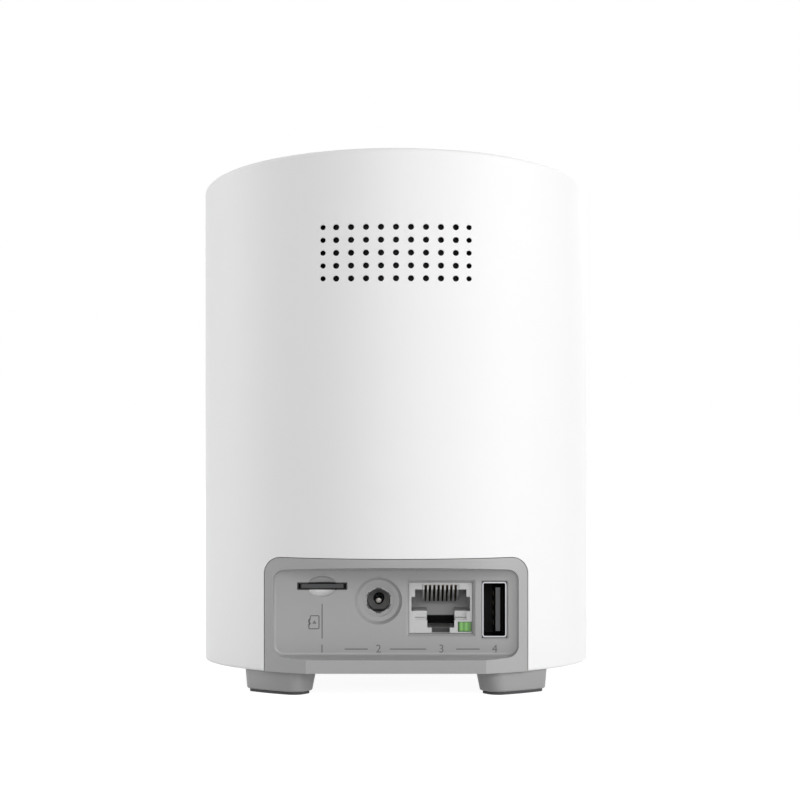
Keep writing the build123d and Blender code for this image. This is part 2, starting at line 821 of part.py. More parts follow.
def make_card_socket_cover():
    """Folded metal cover under the socket, wrapping its sides."""
    cavity_half = card_ridge_thickness / 2 + card_room
    width = card_width + 2 * (card_room + socket_side)
    bottom = card_z - cavity_half
    height = board_z - bottom
    outer = sunk(card_x, bottom + (height - socket_wall) / 2, panel_back_y,
                 width + 2 * socket_wall, height + socket_wall, socket_depth())
    inner = sunk(card_x, bottom + height / 2, panel_back_y + overrun, width, height,
                 socket_depth() + 2 * overrun)
    cover = outer - inner
    pad = sunk(card_x, bottom - socket_wall, panel_back_y + overrun, card_width / 2,
               2 * socket_wall, 2 * overrun)
    return cover - pad


def make_memory_card():
    """Memory card with its stepped side and the thicker ridge at the outer end."""
    front = panel_y - card_setback
    outline = Pos(card_x, front - card_length / 2) * RectangleRounded(
        card_width, card_length, card_corner
    )
    step_length = card_length - card_step_start
    outline -= Pos(card_x + card_width / 2, front - card_step_start - step_length / 2) * Rectangle(
        2 * card_step, step_length + card_corner
    )
    card = extrude(Pos(0, 0, card_z - card_thickness / 2) * outline, card_thickness)
    ridge = extrude(Pos(0, 0, card_z - card_ridge_thickness / 2) * outline, card_ridge_thickness)
    ridge &= sunk(card_x, card_z, front, card_width, card_ridge_thickness, card_ridge_length)
    return card + ridge


# Power inlet

def make_inlet_body():
    """Black housing of the power inlet, against the panel, with its bore and the pin's hole."""
    height = inlet_drop + inlet_body_chin
    inward = (0, -1, 0)
    body = sunk(inlet_x, board_z - height / 2, panel_back_y, inlet_body_width, height,
                inlet_body_depth)
    body = chamfer(body.edges().filter_by(Axis.Y), inlet_body_width / 16)
    start = (inlet_x, panel_back_y + overrun, inlet_z)
    body -= rod(start, inward, inlet_bore_radius, inlet_bore_depth + overrun)
    return body - rod(start, inward, inlet_pin_root_radius + screw_gap,
                      inlet_body_depth + 2 * overrun)


def make_inlet_pin():
    """Centre pin with a domed tip and a thicker root, riveted over behind the housing."""
    back = (inlet_x, panel_back_y - inlet_body_depth, inlet_z)
    length = panel_y - inlet_pin_setback - panel_back_y + inlet_body_depth
    pin = rod(back, backwards, inlet_pin_radius, length)
    pin = fillet(pin.faces().sort_by(Axis.Y)[-1].edges(), inlet_pin_radius * 3 / 4)
    pin += rod(back, backwards, inlet_pin_root_radius, inlet_body_depth - inlet_bore_depth)
    return pin + rod(back, (0, -1, 0), inlet_pin_rivet_radius, inlet_pin_rivet_depth)


def make_inlet_petals():
    """Sleeve contact: a thin slit tube along the bore's wall."""
    start = panel_back_y - petal_length - petal_thickness
    outer_radius = inlet_bore_radius - petal_thickness / 8
    sleeve = rod((inlet_x, start, inlet_z), backwards, outer_radius, petal_length)
    sleeve -= rod((inlet_x, start - overrun, inlet_z), backwards, outer_radius - petal_thickness,
                  petal_length + 2 * overrun)
    for i in range(petal_count):
        slit = Box(2 * inlet_bore_radius, petal_length, petal_slit,
                   align=(Align.MIN, Align.MIN, Align.CENTER))
        turn = Pos(inlet_x, start + 2 * petal_slit, inlet_z) * Rot(0, 360 / petal_count * i, 0)
        sleeve -= turn * slit
    return sleeve


# Network jack

def make_lan_housing():
    """Network jack: stepped opening, latch recess, comb seat, ledges and light hole."""
    height = lan_drop + lan_body_chin
    body = sunk(lan_x, board_z - height / 2, panel_back_y, lan_body_width, height, lan_body_depth)
    body += sunk(lan_x, lan_z, lan_face_y, lan_window_width - 2 * part_gap,
                 lan_window_height - 2 * part_gap, lan_face_y - panel_back_y)
    front = lan_face_y + overrun
    deep = lan_cavity_depth + overrun
    body -= sunk(lan_x, lan_cavity_z, front, lan_cavity_width, lan_cavity_height, deep)
    body -= sunk(lan_x, lan_z + lan_key_rise, front, lan_key_width, lan_key_height, deep)
    body -= sunk(lan_x, lan_cavity_top, front, comb_width + 2 * part_gap, 2 * contact_slot_rise,
                 contact_slot_depth + comb_spine + part_gap + overrun)
    latch_z = lan_cavity_bottom - lan_latch_height / 2
    body -= sunk(lan_x, latch_z, front, lan_latch_width, lan_latch_height + part_gap, deep)
    slot_z = lan_cavity_bottom - lan_latch_height - lan_latch_slot_height / 2
    body -= sunk(lan_x, slot_z, front, lan_latch_slot_width, lan_latch_slot_height + part_gap,
                 lan_latch_slot_depth + overrun)
    for side in both_sides:
        x = lan_x + side * (lan_cavity_width - lan_ledge_width) / 2
        body += sunk(x, lan_cavity_bottom + lan_ledge_height / 2, lan_face_y - lan_ledge_setback,
                     lan_ledge_width, lan_ledge_height, lan_cavity_depth - lan_ledge_setback)
        body -= sunk(x, lan_cavity_bottom + lan_ledge_foot + lan_ledge_groove / 2,
                     lan_face_y - lan_ledge_setback + overrun, lan_ledge_width,
                     lan_ledge_groove, 2 * lan_ledge_groove + overrun)
    return body - lan_light_block(part_gap / 2, overrun)


def contact_places():
    """Where the eight contacts stand along X."""
    return [lan_x + contact_pitch * (i - (contact_count - 1) / 2) for i in range(contact_count)]


def across(x, width, outline):
    """Solid of an outline given as (y, z) points, centred on x."""
    plane = Plane(origin=(x - width / 2, 0, 0), x_dir=backwards, z_dir=(1, 0, 0))
    return extrude(plane * make_face(Polyline(*outline, close=True)), width)


def make_lan_comb():
    """Insert under the jack's roof: ribs between the contacts that fall towards a rear spine."""
    top = lan_cavity_top + contact_slot_rise - part_gap
    start_y = lan_face_y - contact_setback
    spine_y = lan_face_y - contact_slot_depth
    comb = across(lan_x, comb_width, [
        (lan_face_y, top),
        (lan_face_y, lan_cavity_top),
        (start_y, lan_cavity_top),
        (spine_y, lan_cavity_top - comb_fall),
        (spine_y - comb_spine, lan_cavity_top - comb_fall),
        (spine_y - comb_spine, top),
    ])
    for x in contact_places():
        comb -= sunk(x, lan_cavity_top, lan_face_y + overrun, contact_slot_width,
                     2 * (comb_fall + overrun), contact_slot_depth + overrun)
    return comb


def make_lan_contacts():
    """Eight sprung contacts that fall from the roof, one in each slot of the comb."""
    start_y = lan_face_y - contact_setback
    bend_y = start_y - contact_setback
    end_y = lan_face_y - contact_slot_depth + part_gap
    roof = lan_cavity_top + contact_slot_rise - part_gap
    outline = [
        (start_y, roof),
        (start_y, roof - contact_thickness),
        (bend_y, roof - contact_thickness),
        (end_y, roof - contact_thickness - contact_fall),
        (end_y, roof - contact_fall),
        (bend_y, roof),
    ]
    return Compound(children=[
        across(x, contact_width, outline).solid() for x in contact_places()
    ])


def lan_light_block(gap, extra):
    """Space of the light's lens in the jack's lower corner."""
    z = lan_nose_bottom + lan_light_rise + lan_light_height / 2
    return sunk(lan_light_x, z, lan_face_y + extra, lan_light_width + 2 * gap,
                lan_light_height + 2 * gap, lan_light_depth + extra)


def make_lan_light():
    """Small rectangular lens that shows the network's activity."""
    lens = lan_light_block(0, 0)
    return fillet(lens.faces().sort_by(Axis.Y)[-1].edges(), lan_light_height / 8)


# Upright USB socket

def make_usb_shell():
    """Folded metal shell of the USB socket, with a mounting tab up to the board."""
    outer = sunk(usb_x, usb_z, usb_face_y, usb_width + 2 * usb_wall, usb_height + 2 * usb_wall,
                 usb_depth)
    outer = fillet(outer.edges().filter_by(Axis.Y), 2 * usb_wall)
    inner = sunk(usb_x, usb_z, usb_face_y + overrun, usb_width, usb_height,
                 usb_depth + 2 * overrun)
    inner = fillet(inner.edges().filter_by(Axis.Y), usb_wall)
    shell = outer - inner
    top = usb_z + usb_height / 2 + usb_wall / 2
    tab_length = usb_depth / 4
    for share in usb_tab_shares:
        y = usb_face_y - usb_depth * share
        shell += Pos(usb_x, y, top) * Box(usb_width / 2, tab_length / 2, board_z - top,
                                          align=standing)
    return shell


def make_usb_tongue():
    """Plastic tongue with a wedged tip, on the block that closes the socket's back."""
    length = usb_depth - usb_tongue_setback
    block_depth = length - usb_tongue_length
    room = 2 * part_gap
    block = sunk(usb_x, usb_z, usb_face_y - usb_tongue_setback - usb_tongue_length,
                 usb_width - room, usb_height - room, block_depth)
    front = usb_face_y - usb_tongue_setback
    tongue = sunk(usb_tongue_x, usb_z, front - usb_tip_length, usb_tongue_thickness,
                  usb_tongue_height, length - usb_tip_length)
    tip = facing(front) * Pos(usb_tongue_x, usb_z) * Rectangle(
        usb_tongue_thickness - 2 * usb_tip_inset, usb_tongue_height - 2 * usb_tip_inset)
    spread = math.degrees(math.atan(usb_tip_inset / usb_tip_length))
    return block + tongue + extrude(tip, usb_tip_length, taper=-spread) - usb_strips()


def usb_strips():
    """The four flat contacts, let into the tongue's wide side."""
    x = (usb_tongue_x + usb_tongue_thickness / 2 + usb_contact_proud
         - usb_contact_thickness / 2)
    front = usb_face_y - usb_tongue_setback - usb_tongue_length + usb_contact_length
    strips = []
    for i in range(usb_contact_count):
        z = usb_z + usb_contact_pitch * (i - (usb_contact_count - 1) / 2)
        strips.append(sunk(x, z, front, usb_contact_thickness, usb_contact_width,
                           usb_contact_length).solid())
    return strips


def make_usb_contacts():
    """Four gilt contacts in the tongue's grooves."""
    return Compound(children=usb_strips())


# Inner frame

def make_inner_frame():
    """Upright channel on the main board: two windowed flanges and a web for the speaker."""
    depth = web_back_y + frame_front
    middle_y = (web_back_y - frame_front) / 2
    height = rim_height + body_radius * slope - board_top
    outer = Pos(0, middle_y, board_top) * Box(2 * frame_half_width, depth, height, align=standing)
    inner = Pos(0, middle_y - frame_wall, board_top - overrun) * Box(
        2 * frame_inside, depth, height + 2 * overrun, align=standing
    )
    frame = under_plane(outer - inner, rim_plane.offset(-carrier_bottom_drop))
    web_bottom = base_height + frame_web_start
    frame -= Pos(0, frame_clear_y, board_top - overrun) * Box(
        2 * body_radius, body_radius, web_bottom - board_top + overrun,
        align=(Align.CENTER, Align.MIN, Align.MIN),
    )

    span = speaker_z - speaker_height / 2 - web_bottom
    side_slot = extrude(
        Plane.YZ.offset(-body_radius) * RectangleRounded(
            frame_window_width, frame_window_height, frame_window_width / 4),
        body_diameter,
    )
    back_slot = extrude(
        facing(body_radius) * RectangleRounded(
            frame_half_width, frame_window_height, frame_window_width / 4),
        frame_back_inset + frame_wall + overrun,
    )
    for row in range(frame_window_rows):
        z = web_bottom + span * (row + 1) / (frame_window_rows + 1)
        frame -= Pos(0, 0, z) * back_slot
        frame -= Pos(0, antenna_y + antenna_width, z) * side_slot

    for x, y in board_screw_places():
        side = math.copysign(1, x)
        reach = abs(x) + frame_ear_reach - frame_inside
        ear = Pos(side * (frame_inside + reach / 2), y, board_top) * Box(
            reach, frame_ear_length, frame_ear_thickness, align=standing
        )
        gusset_y = y + (frame_ear_length - frame_wall) / 2
        gusset = Pos(side * frame_half_width, gusset_y, board_top) * Box(
            2 * frame_wall, frame_wall, 4 * frame_ear_thickness, align=standing
        )
        frame += ear + gusset
        frame -= rod((x, y, board_top - overrun), up, screw_radius + 2 * screw_gap,
                     frame_ear_thickness + 2 * overrun)
    for side in both_sides:
        for y in lid_screw_rows:
            place = lid_place(side * lid_screw_x, y, carrier_bottom_drop)
            frame += place * Cylinder(frame_boss_radius, frame_boss_length, align=hanging)
            frame -= place * Cylinder(screw_radius + screw_gap, screw_depth + overrun,
                                      align=hanging)

    opening = facing(web_back_y + overrun) * Pos(0, speaker_z) * RectangleRounded(
        speaker_basket_width + 2 * part_gap, speaker_basket_height + 2 * part_gap, speaker_corner
    )
    frame -= extrude(opening, frame_wall + 2 * overrun)
    for x, z in speaker_screw_places():
        frame -= rod((x, web_back_y + overrun, z), (0, -1, 0), small_screw_radius + screw_gap,
                     frame_wall + 2 * overrun)
    return frame


# Speaker

def speaker_screw_places():
    """The four corners of the speaker's flange."""
    return [(x * speaker_screw_x, speaker_z + z * speaker_screw_z)
            for x in both_sides for z in both_sides]


def make_speaker_frame():
    """Flange and tapered basket of the speaker, open at the front."""
    flange = facing(speaker_front_y) * Pos(0, speaker_z) * RectangleRounded(
        speaker_width, speaker_height, speaker_corner)
    frame = extrude(flange, speaker_flange)
    basket = facing(web_back_y) * Pos(0, speaker_z) * RectangleRounded(
        speaker_basket_width, speaker_basket_height, speaker_corner)
    frame += extrude(basket, speaker_basket_depth, taper=speaker_basket_taper)
    mouth = facing(speaker_front_y + overrun) * Pos(0, speaker_z) * SlotOverall(
        speaker_mouth_width, speaker_mouth_height)
    frame -= extrude(mouth, speaker_flange + overrun)
    inner = facing(web_back_y) * Pos(0, speaker_z) * SlotOverall(
        speaker_mouth_width, speaker_mouth_height)
    frame -= extrude(inner, speaker_basket_depth - speaker_basket_wall,
                     taper=speaker_basket_taper)
    for x, z in speaker_screw_places():
        frame -= rod((x, speaker_front_y + overrun, z), (0, -1, 0),
                     small_screw_radius + 2 * screw_gap, speaker_flange + 2 * overrun)
    return frame


def make_speaker_cone():
    """Cone with its flat surround and a domed cap."""
    width = speaker_mouth_width - 2 * surround_width
    height = speaker_mouth_height - 2 * surround_width
    ring = SlotOverall(speaker_mouth_width + surround_width,
                       speaker_mouth_height + surround_width) - SlotOverall(width, height)
    cone = extrude(facing(speaker_front_y + surround_thickness) * Pos(0, speaker_z) * ring,
                   surround_thickness)
    outer = facing(speaker_front_y + surround_thickness) * Pos(0, speaker_z) * SlotOverall(
        width + 2 * part_gap, height + 2 * part_gap)
    bowl = extrude(outer, cone_depth, taper=cone_taper)
    inner = facing(speaker_front_y + surround_thickness) * Pos(0, speaker_z) * SlotOverall(
        width - 2 * cone_thickness, height - 2 * cone_thickness)
    bowl -= extrude(inner, cone_depth - cone_thickness, taper=cone_taper)
    cap = rod((0, speaker_front_y + surround_thickness - cone_depth, speaker_z), backwards,
              cone_cap_radius, cone_depth / 2)
    cap = fillet(cap.faces().sort_by(Axis.Y)[-1].edges(), cone_depth / 3)
    return cone + bowl + cap


def make_speaker_magnet():
    """Magnet ring and yoke behind the basket."""
    back = web_back_y - speaker_basket_depth
    ring = rod((0, back, speaker_z), (0, -1, 0), magnet_radius, magnet_thickness)
    ring = chamfer(ring.edges().filter_by(GeomType.CIRCLE), magnet_thickness / 10)
    return ring + rod((0, back - magnet_thickness, speaker_z), (0, -1, 0), yoke_radius,
                      yoke_thickness)


def make_speaker_gasket():
    """Foam duct from the speaker's flange to the curved shell, round the grille."""
    outer = RectangleRounded(speaker_width, speaker_height, speaker_corner)
    inner = SlotOverall(speaker_mouth_width + 2 * surround_width,
                        speaker_mouth_height + 2 * surround_width)
    depth = body_radius - speaker_front_y
    duct = extrude(facing(body_radius) * Pos(0, speaker_z) * (outer - inner), depth)
    duct &= rod((0, 0, speaker_z - speaker_height), up, inner_radius - fit_gap,
                2 * speaker_height)
    for x, z in speaker_screw_places():
        duct -= rod((x, speaker_front_y - overrun, z), backwards,
                    small_head_radius + 2 * part_gap, body_radius)
    return duct


# Lid

def make_top_carrier():
    """Slanted tray that holds the light ring, the top panel and the top board."""
    carrier = lid_disc(lid_radius, ring_seat_drop, carrier_bottom_drop)
    carrier += lid_disc(ring_inner_radius - part_gap, panel_bottom_drop, ring_seat_drop)
    carrier -= lid_disc(recess_radius, panel_bottom_drop - overrun, board_seat_drop)
    for place in ring_places(light_count, recess_radius - overrun, 180 / light_count):
        notch = Box(carrier_rim_width + 3 * overrun, light_notch_width,
                    2 * (ring_seat_drop - panel_bottom_drop),
                    align=(Align.MIN, Align.CENTER, Align.CENTER))
        carrier -= rim_plane.offset(-panel_bottom_drop).location * place * notch
    for side in both_sides:
        for y in lid_screw_rows:
            place = lid_place(side * lid_screw_x, y, board_seat_drop)
            carrier -= place * Cylinder(screw_radius + 2 * screw_gap, carrier_floor + overrun,
                                        align=hanging)
            carrier -= place * Cylinder(screw_head_radius + part_gap,
                                        2 * (carrier_floor - screw_head_height / 2))
    slot = Box(flex_socket_width + 2 * part_gap, flex_socket_depth + 2 * part_gap,
               4 * carrier_floor)
    return carrier - lid_place(0, flex_exit_y, board_seat_drop) * slot


def make_top_panel():
    """Dark disc with a bevelled outer edge and the button's hole."""
    disc = lid_disc(panel_radius, panel_sink, panel_bottom_drop)
    disc = chamfer(disc.faces().sort_by(Axis.Z)[-1].edges(), top_panel_thickness / 8)
    hole = lid_place(0, 0, panel_bottom_drop + overrun) * Cylinder(
        button_radius + button_gap, top_panel_thickness + 2 * overrun, align=standing)
    return disc - hole


def make_light_ring():
    """Clear ring between the top panel and the rim."""
    ring = lid_disc(lid_radius, light_ring_sink, ring_seat_drop)
    return ring - lid_disc(ring_inner_radius, light_ring_sink - overrun,
                           ring_seat_drop + overrun)


def make_sync_button():
    """Round button with a shallow dish and a flange that keeps it under the panel."""
    height = flange_bottom_drop - panel_sink + button_proud
    cap = Cylinder(button_radius, height, align=standing)
    cap = chamfer(cap.edges().group_by(Axis.Z)[-1], button_dish)
    flange = Cylinder(button_radius + button_flange_width, button_flange_thickness,
                      align=standing)
    dish_radius = (button_radius ** 2 + button_dish ** 2) / button_dish / 2
    dish = Pos(0, 0, height - button_dish + dish_radius) * Sphere(dish_radius)
    return lid_place(0, 0, flange_bottom_drop) * (cap + flange - dish)


def make_button_switch():
    """Low switch under the button, with its round plunger."""
    height = top_board_drop - flange_bottom_drop - switch_gap
    body = Box(switch_size, switch_size, height - switch_plunger_height, align=standing)
    body = chamfer(body.edges().filter_by(Axis.Z), switch_size / 12)
    body += Cylinder(switch_plunger_radius, height, align=standing)
    return lid_place(0, 0, top_board_drop) * body


def make_top_board():
    """Round board in the carrier's recess."""
    return lid_disc(top_board_radius, top_board_drop, board_seat_drop)


def make_status_lights():
    """Lights at the top board's edge, each shining through its notch into the ring."""
    lights = []
    for place in ring_places(light_count, top_board_radius - light_inset, 180 / light_count):
        light = Box(light_depth, light_width, light_height, align=standing)
        lights.append(rim_plane.offset(-top_board_drop).location * place * light)
    return Compound(children=lights)


# Reset button

def make_reset_button():
    """Long sprung stem in the tray's guide, recessed under the base."""
    bottom = base_height + reset_recess
    stem = rod((0, reset_y, bottom), up, reset_radius, reset_top - bottom)
    stem = chamfer(stem.faces().sort_by(Axis.Z)[0].edges(), reset_radius / 8)
    flange_bottom = tray_top + reset_guide_height + button_float
    return stem + rod((0, reset_y, flange_bottom), up, reset_flange_radius, reset_flange_height)


def make_reset_switch():
    """Switch under the main board, with its plunger down."""
    body = Pos(0, reset_y, board_z) * Box(reset_switch_size, reset_switch_size,
                                          reset_switch_body, align=hanging)
    body = chamfer(body.edges().filter_by(Axis.Z), reset_switch_size / 12)
    return body + rod((0, reset_y, board_z), down, reset_plunger_radius,
                      reset_switch_body + reset_plunger_height)


# Screws

def make_board_screws():
    """Screws through the frame's ears and the board into the standoffs."""
    length = frame_ear_thickness + board_thickness + screw_depth
    one = screw(screw_radius, length, screw_head_radius, screw_head_height)
    return Compound(children=[
        Pos(x, y, board_top + frame_ear_thickness) * one for x, y in board_screw_places()
    ])


def make_base_screws():
    """Screws through the tray into the shell's bosses, heads in their recesses."""
    head_top = base_height + screw_head_height
    length = tray_top + part_gap + screw_depth - head_top
    one = Rot(180, 0, 0) * screw(screw_radius, length, screw_head_radius, screw_head_height)
    return Compound(children=[
        Rot(0, 0, angle) * Pos(shell_boss_ring, 0, head_top) * one for angle in shell_boss_angles
    ])


def make_lid_screws():
    """Screws through the carrier's floor into the frame's bosses."""
    length = carrier_floor - lid_screw_sink + screw_depth
    one = screw(screw_radius, length, screw_head_radius, lid_screw_sink - part_gap)
    return Compound(children=[
        lid_place(side * lid_screw_x, y, board_seat_drop + lid_screw_sink) * one
        for side in both_sides for y in lid_screw_rows
    ])


def make_speaker_screws():
    """Small screws through the speaker's flange into the frame's web."""
    one = screw(small_screw_radius, speaker_flange + small_screw_depth, small_head_radius,
                small_head_height)
    turned = Rot(-90, 0, 0) * one
    return Compound(children=[
        Pos(x, speaker_front_y, z) * turned for x, z in speaker_screw_places()
    ])


# Antennas, leads and board sockets

def make_antennas():
    """Two thin antenna boards on the outer sides of the frame."""
    return Compound(children=[
        Pos(side * (frame_half_width + antenna_thickness / 2), antenna_y,
            antenna_bottom) * Box(antenna_thickness, antenna_width, antenna_height,
                                  align=standing)
        for side in both_sides
    ])


def make_antenna_leads():
    """Coaxial leads from the antennas down to the sockets on the main board."""
    start_x = frame_half_width + antenna_thickness + coax_radius
    top = antenna_bottom + antenna_height / 3
    end = board_top + coax_plug_height
    falls = [(top - end) * share for share in coax_fall_shares]
    leads = []
    for side in both_sides:
        points = [
            (side * start_x, antenna_y, top),
            (side * start_x, antenna_y, top - falls[0]),
            (side * (start_x + coax_x) / 2, antenna_y + coax_plug_radius, top - falls[1]),
            (side * coax_x, antenna_y, top - falls[2]),
            (side * coax_x, antenna_y, end),
        ]
        leads.append(tube(points, coax_radius).solid())
    return Compound(children=leads)


def make_board_sockets():
    """Sockets on the main board for the leads, the coaxial plugs and the flat cable."""
    sockets = [
        on_board(lead_plug_x, lead_plug_y, plug_width, plug_depth, plug_height),
        on_board(0, flex_socket_y, flex_socket_width, flex_socket_depth, flex_socket_height),
    ]
    for side in both_sides:
        sockets.append(rod((side * coax_x, antenna_y, board_top), up, coax_plug_radius,
                           coax_plug_height))
    return Compound(children=[s.solid() for s in sockets])


def make_speaker_leads():
    """Pair of leads from the speaker's terminals down to their socket."""
    depth = frame_wall + lead_radius
    draw_in = depth * math.tan(math.radians(speaker_basket_taper))
    start = (frame_inside / 2, web_back_y - depth - lead_radius,
             speaker_z - speaker_basket_height / 2 + draw_in - part_gap)
    end = (lead_plug_x, lead_plug_y, board_top + plug_height)
    falls = [(start[2] - end[2]) * share for share in lead_fall_shares]
    sway = frame_wall * 2
    route = [
        start,
        (start[0], start[1], start[2] - falls[0]),
        (start[0] + sway, start[1] - sway, start[2] - falls[1]),
        (end[0], end[1] - sway / 4, start[2] - falls[2]),
        end,
    ]
    leads = []
    for side in both_sides:
        shift = side * lead_spread / 2
        leads.append(tube([(x + shift, y, z) for x, y, z in route], lead_radius).solid())
    return Compound(children=leads)


def make_top_cable():
    """Flat cable from the lid's socket down to the main board."""
    exit_place = lid_place(0, flex_exit_y, carrier_bottom_drop)
    start = exit_place.position
    end = Vector(0, flex_socket_y, board_top + flex_socket_height)
    normal = rim_plane.z_dir
    falls = [(start.Z - end.Z) * share for share in flex_fall_shares]
    sway = frame_front / 4
    route = [
        start,
        start - normal * falls[0],
        Vector(0, start.Y + sway, start.Z - falls[1]),
        Vector(0, end.Y + sway / 4, start.Z - falls[2]),
        end,
    ]
    path = FilletPolyline(*route, radius=tangent_radii(route))
    section = Plane(origin=start, x_dir=(1, 0, 0), z_dir=path % 0) * Rectangle(
        flex_width, flex_thickness)
    return sweep(section, path=path)


def make_top_socket():
    """Socket under the top board, in the slot of the carrier's floor."""
    block = Box(flex_socket_width, flex_socket_depth, carrier_floor, align=hanging)
    return lid_place(0, flex_exit_y, board_seat_drop) * block


pieces = {
    "outer_shell": make_outer_shell,
    "base_tray": make_base_tray,
    "foot_pads": make_foot_pads,
    "port_bay": make_port_bay,
    "main_board": make_main_board,
    "processor_chip": make_processor_chip,
    "heat_sink": make_heat_sink,
    "radio_shield": make_radio_shield,
    "lan_transformer": make_lan_transformer,
    "capacitors": make_capacitors,
    "memory_chips": make_memory_chips,
    "card_socket_base": make_card_socket_base,
    "card_socket_cover": make_card_socket_cover,
    "memory_card": make_memory_card,
    "inlet_body": make_inlet_body,
    "inlet_pin": make_inlet_pin,
    "inlet_petals": make_inlet_petals,
    "lan_housing": make_lan_housing,
    "lan_comb": make_lan_comb,
    "lan_contacts": make_lan_contacts,
    "lan_light": make_lan_light,
    "usb_shell": make_usb_shell,
    "usb_tongue": make_usb_tongue,
    "usb_contacts": make_usb_contacts,
    "inner_frame": make_inner_frame,
    "speaker_frame": make_speaker_frame,
    "speaker_cone": make_speaker_cone,
    "speaker_magnet": make_speaker_magnet,
    "speaker_gasket": make_speaker_gasket,
    "speaker_leads": make_speaker_leads,
    "antennas": make_antennas,
    "antenna_leads": make_antenna_leads,
    "board_sockets": make_board_sockets,
    "top_carrier": make_top_carrier,
    "top_panel": make_top_panel,
    "light_ring": make_light_ring,
    "sync_button": make_sync_button,
    "button_switch": make_button_switch,
    "top_board": make_top_board,
    "status_lights": make_status_lights,
    "top_socket": make_top_socket,
    "top_cable": make_top_cable,
    "reset_button": make_reset_button,
    "reset_switch": make_reset_switch,
    "board_screws": make_board_screws,
    "base_screws": make_base_screws,
    "lid_screws": make_lid_screws,
    "speaker_screws": make_speaker_screws,
}

for name, make in pieces.items():
    export_step(make(), f"parts/{name}.step")
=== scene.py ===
import json
import math

import bpy
import numpy as np
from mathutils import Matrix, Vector


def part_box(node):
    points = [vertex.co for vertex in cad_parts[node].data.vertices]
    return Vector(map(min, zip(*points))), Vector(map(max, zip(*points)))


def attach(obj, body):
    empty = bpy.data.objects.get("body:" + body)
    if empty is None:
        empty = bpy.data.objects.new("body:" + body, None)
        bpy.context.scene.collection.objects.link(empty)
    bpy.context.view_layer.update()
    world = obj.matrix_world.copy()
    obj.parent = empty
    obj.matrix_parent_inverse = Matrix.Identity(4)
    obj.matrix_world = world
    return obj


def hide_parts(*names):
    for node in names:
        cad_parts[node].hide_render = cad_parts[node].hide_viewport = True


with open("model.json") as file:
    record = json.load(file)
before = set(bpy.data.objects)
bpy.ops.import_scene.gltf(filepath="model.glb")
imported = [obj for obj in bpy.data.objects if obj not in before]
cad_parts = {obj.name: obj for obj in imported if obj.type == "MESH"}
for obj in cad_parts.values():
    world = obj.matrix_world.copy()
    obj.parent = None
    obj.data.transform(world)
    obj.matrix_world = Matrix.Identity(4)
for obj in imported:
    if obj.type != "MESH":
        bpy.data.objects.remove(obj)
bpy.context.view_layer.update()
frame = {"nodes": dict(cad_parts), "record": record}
nodes = frame["nodes"]
mm = 0.001
print("frame loaded with", len(nodes), "nodes")


# Shared helpers

def toLinear(hexColour):
    # sRGB hex such as "e9e9ea" to the linear colour that a shader socket takes
    parts = [int(hexColour[i:i + 2], 16) / 255 for i in (0, 2, 4)]
    return [c / 12.92 if c <= 0.04045 else ((c + 0.055) / 1.055) ** 2.4 for c in parts] + [1.0]


def addNode(tree, kind, settings=None, links=None):
    # settings name sockets (by name or number) or properties, links feed the inputs
    node = tree.nodes.new("ShaderNode" + kind)
    for key, value in (settings or {}).items():
        if isinstance(key, int) or key in node.inputs:
            node.inputs[key].default_value = value
        else:
            setattr(node, key, value)
    for key, source in (links or {}).items():
        tree.links.new(source, node.inputs[key])
    return node


def startMaterial(name, constants):
    # a Principled shader with its constants on its own sockets, and Object coordinates beside it
    material = bpy.data.materials.new(name)
    material.use_nodes = True
    tree = material.node_tree
    shader = tree.nodes["Principled BSDF"]
    for key, value in constants.items():
        shader.inputs[key].default_value = value
    place = addNode(tree, "TexCoord").outputs["Object"]
    return material, tree, shader, place


def cornersOf(name):
    # the low and the high corner of a node's box, in mm
    return [np.array(corner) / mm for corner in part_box(name)]


def mixTone(tree, look, factor):
    # the look's colour where the factor is 0 and its shade where it is 1
    mix = addNode(tree, "Mix", {"data_type": "RGBA", 6: toLinear(look["colour"]),
                                7: toLinear(look["shade"])}, {0: factor})
    return mix.outputs[2]


def noiseOf(tree, place, size, **settings):
    # noise whose features are about size mm across
    node = addNode(tree, "TexNoise", {"Scale": 1 / (size * mm), **settings}, {"Vector": place})
    return node.outputs["Fac"]


def rangeOf(tree, factor, low, high):
    # takes a factor of 0 to 1 to the range from low to high
    node = addNode(tree, "MapRange", {"To Min": low, "To Max": high}, {"Value": factor})
    return node.outputs["Result"]


def bumpOf(tree, height, look):
    # bump whose height runs over the look's relief in mm
    node = addNode(tree, "Bump", {"Strength": look["strength"], "Distance": look["relief"] * mm},
                   {"Height": height})
    return node.outputs["Normal"]


def linkShader(tree, shader, sources):
    for key, source in sources.items():
        tree.links.new(source, shader.inputs[key])


def giveMaterial(material, *names):
    for name in names:
        mesh = nodes[name].data
        if not mesh.materials:
            mesh.materials.append(material)
        for i in range(len(mesh.materials)):
            mesh.materials[i] = material


def meshPiece(name, vertices, faces, material, body, smooth=True):
    # vertices in metres in the frame, faces as rows of corner numbers
    mesh = bpy.data.meshes.new(name)
    points = np.asarray(vertices, float).reshape(-1, 3).tolist()
    mesh.from_pydata(points, [], [list(f) for f in faces])
    mesh.polygons.foreach_set("use_smooth", np.full(len(mesh.polygons), smooth))
    mesh.materials.append(material)
    mesh.update()
    piece = bpy.data.objects.new(name, mesh)
    bpy.context.scene.collection.objects.link(piece)
    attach(piece, body)
    return piece


def gridFaces(rows, columns, wrap=False):
    # quads of a grid of points, row by row; wrap joins the last column to the first
    last = columns if wrap else columns - 1
    row, column = np.meshgrid(np.arange(rows - 1), np.arange(last), indexing="ij")
    after = (column + 1) % columns
    quads = np.stack([row * columns + column, row * columns + after,
                      (row + 1) * columns + after, (row + 1) * columns + column], -1)
    return quads.reshape(-1, 4)


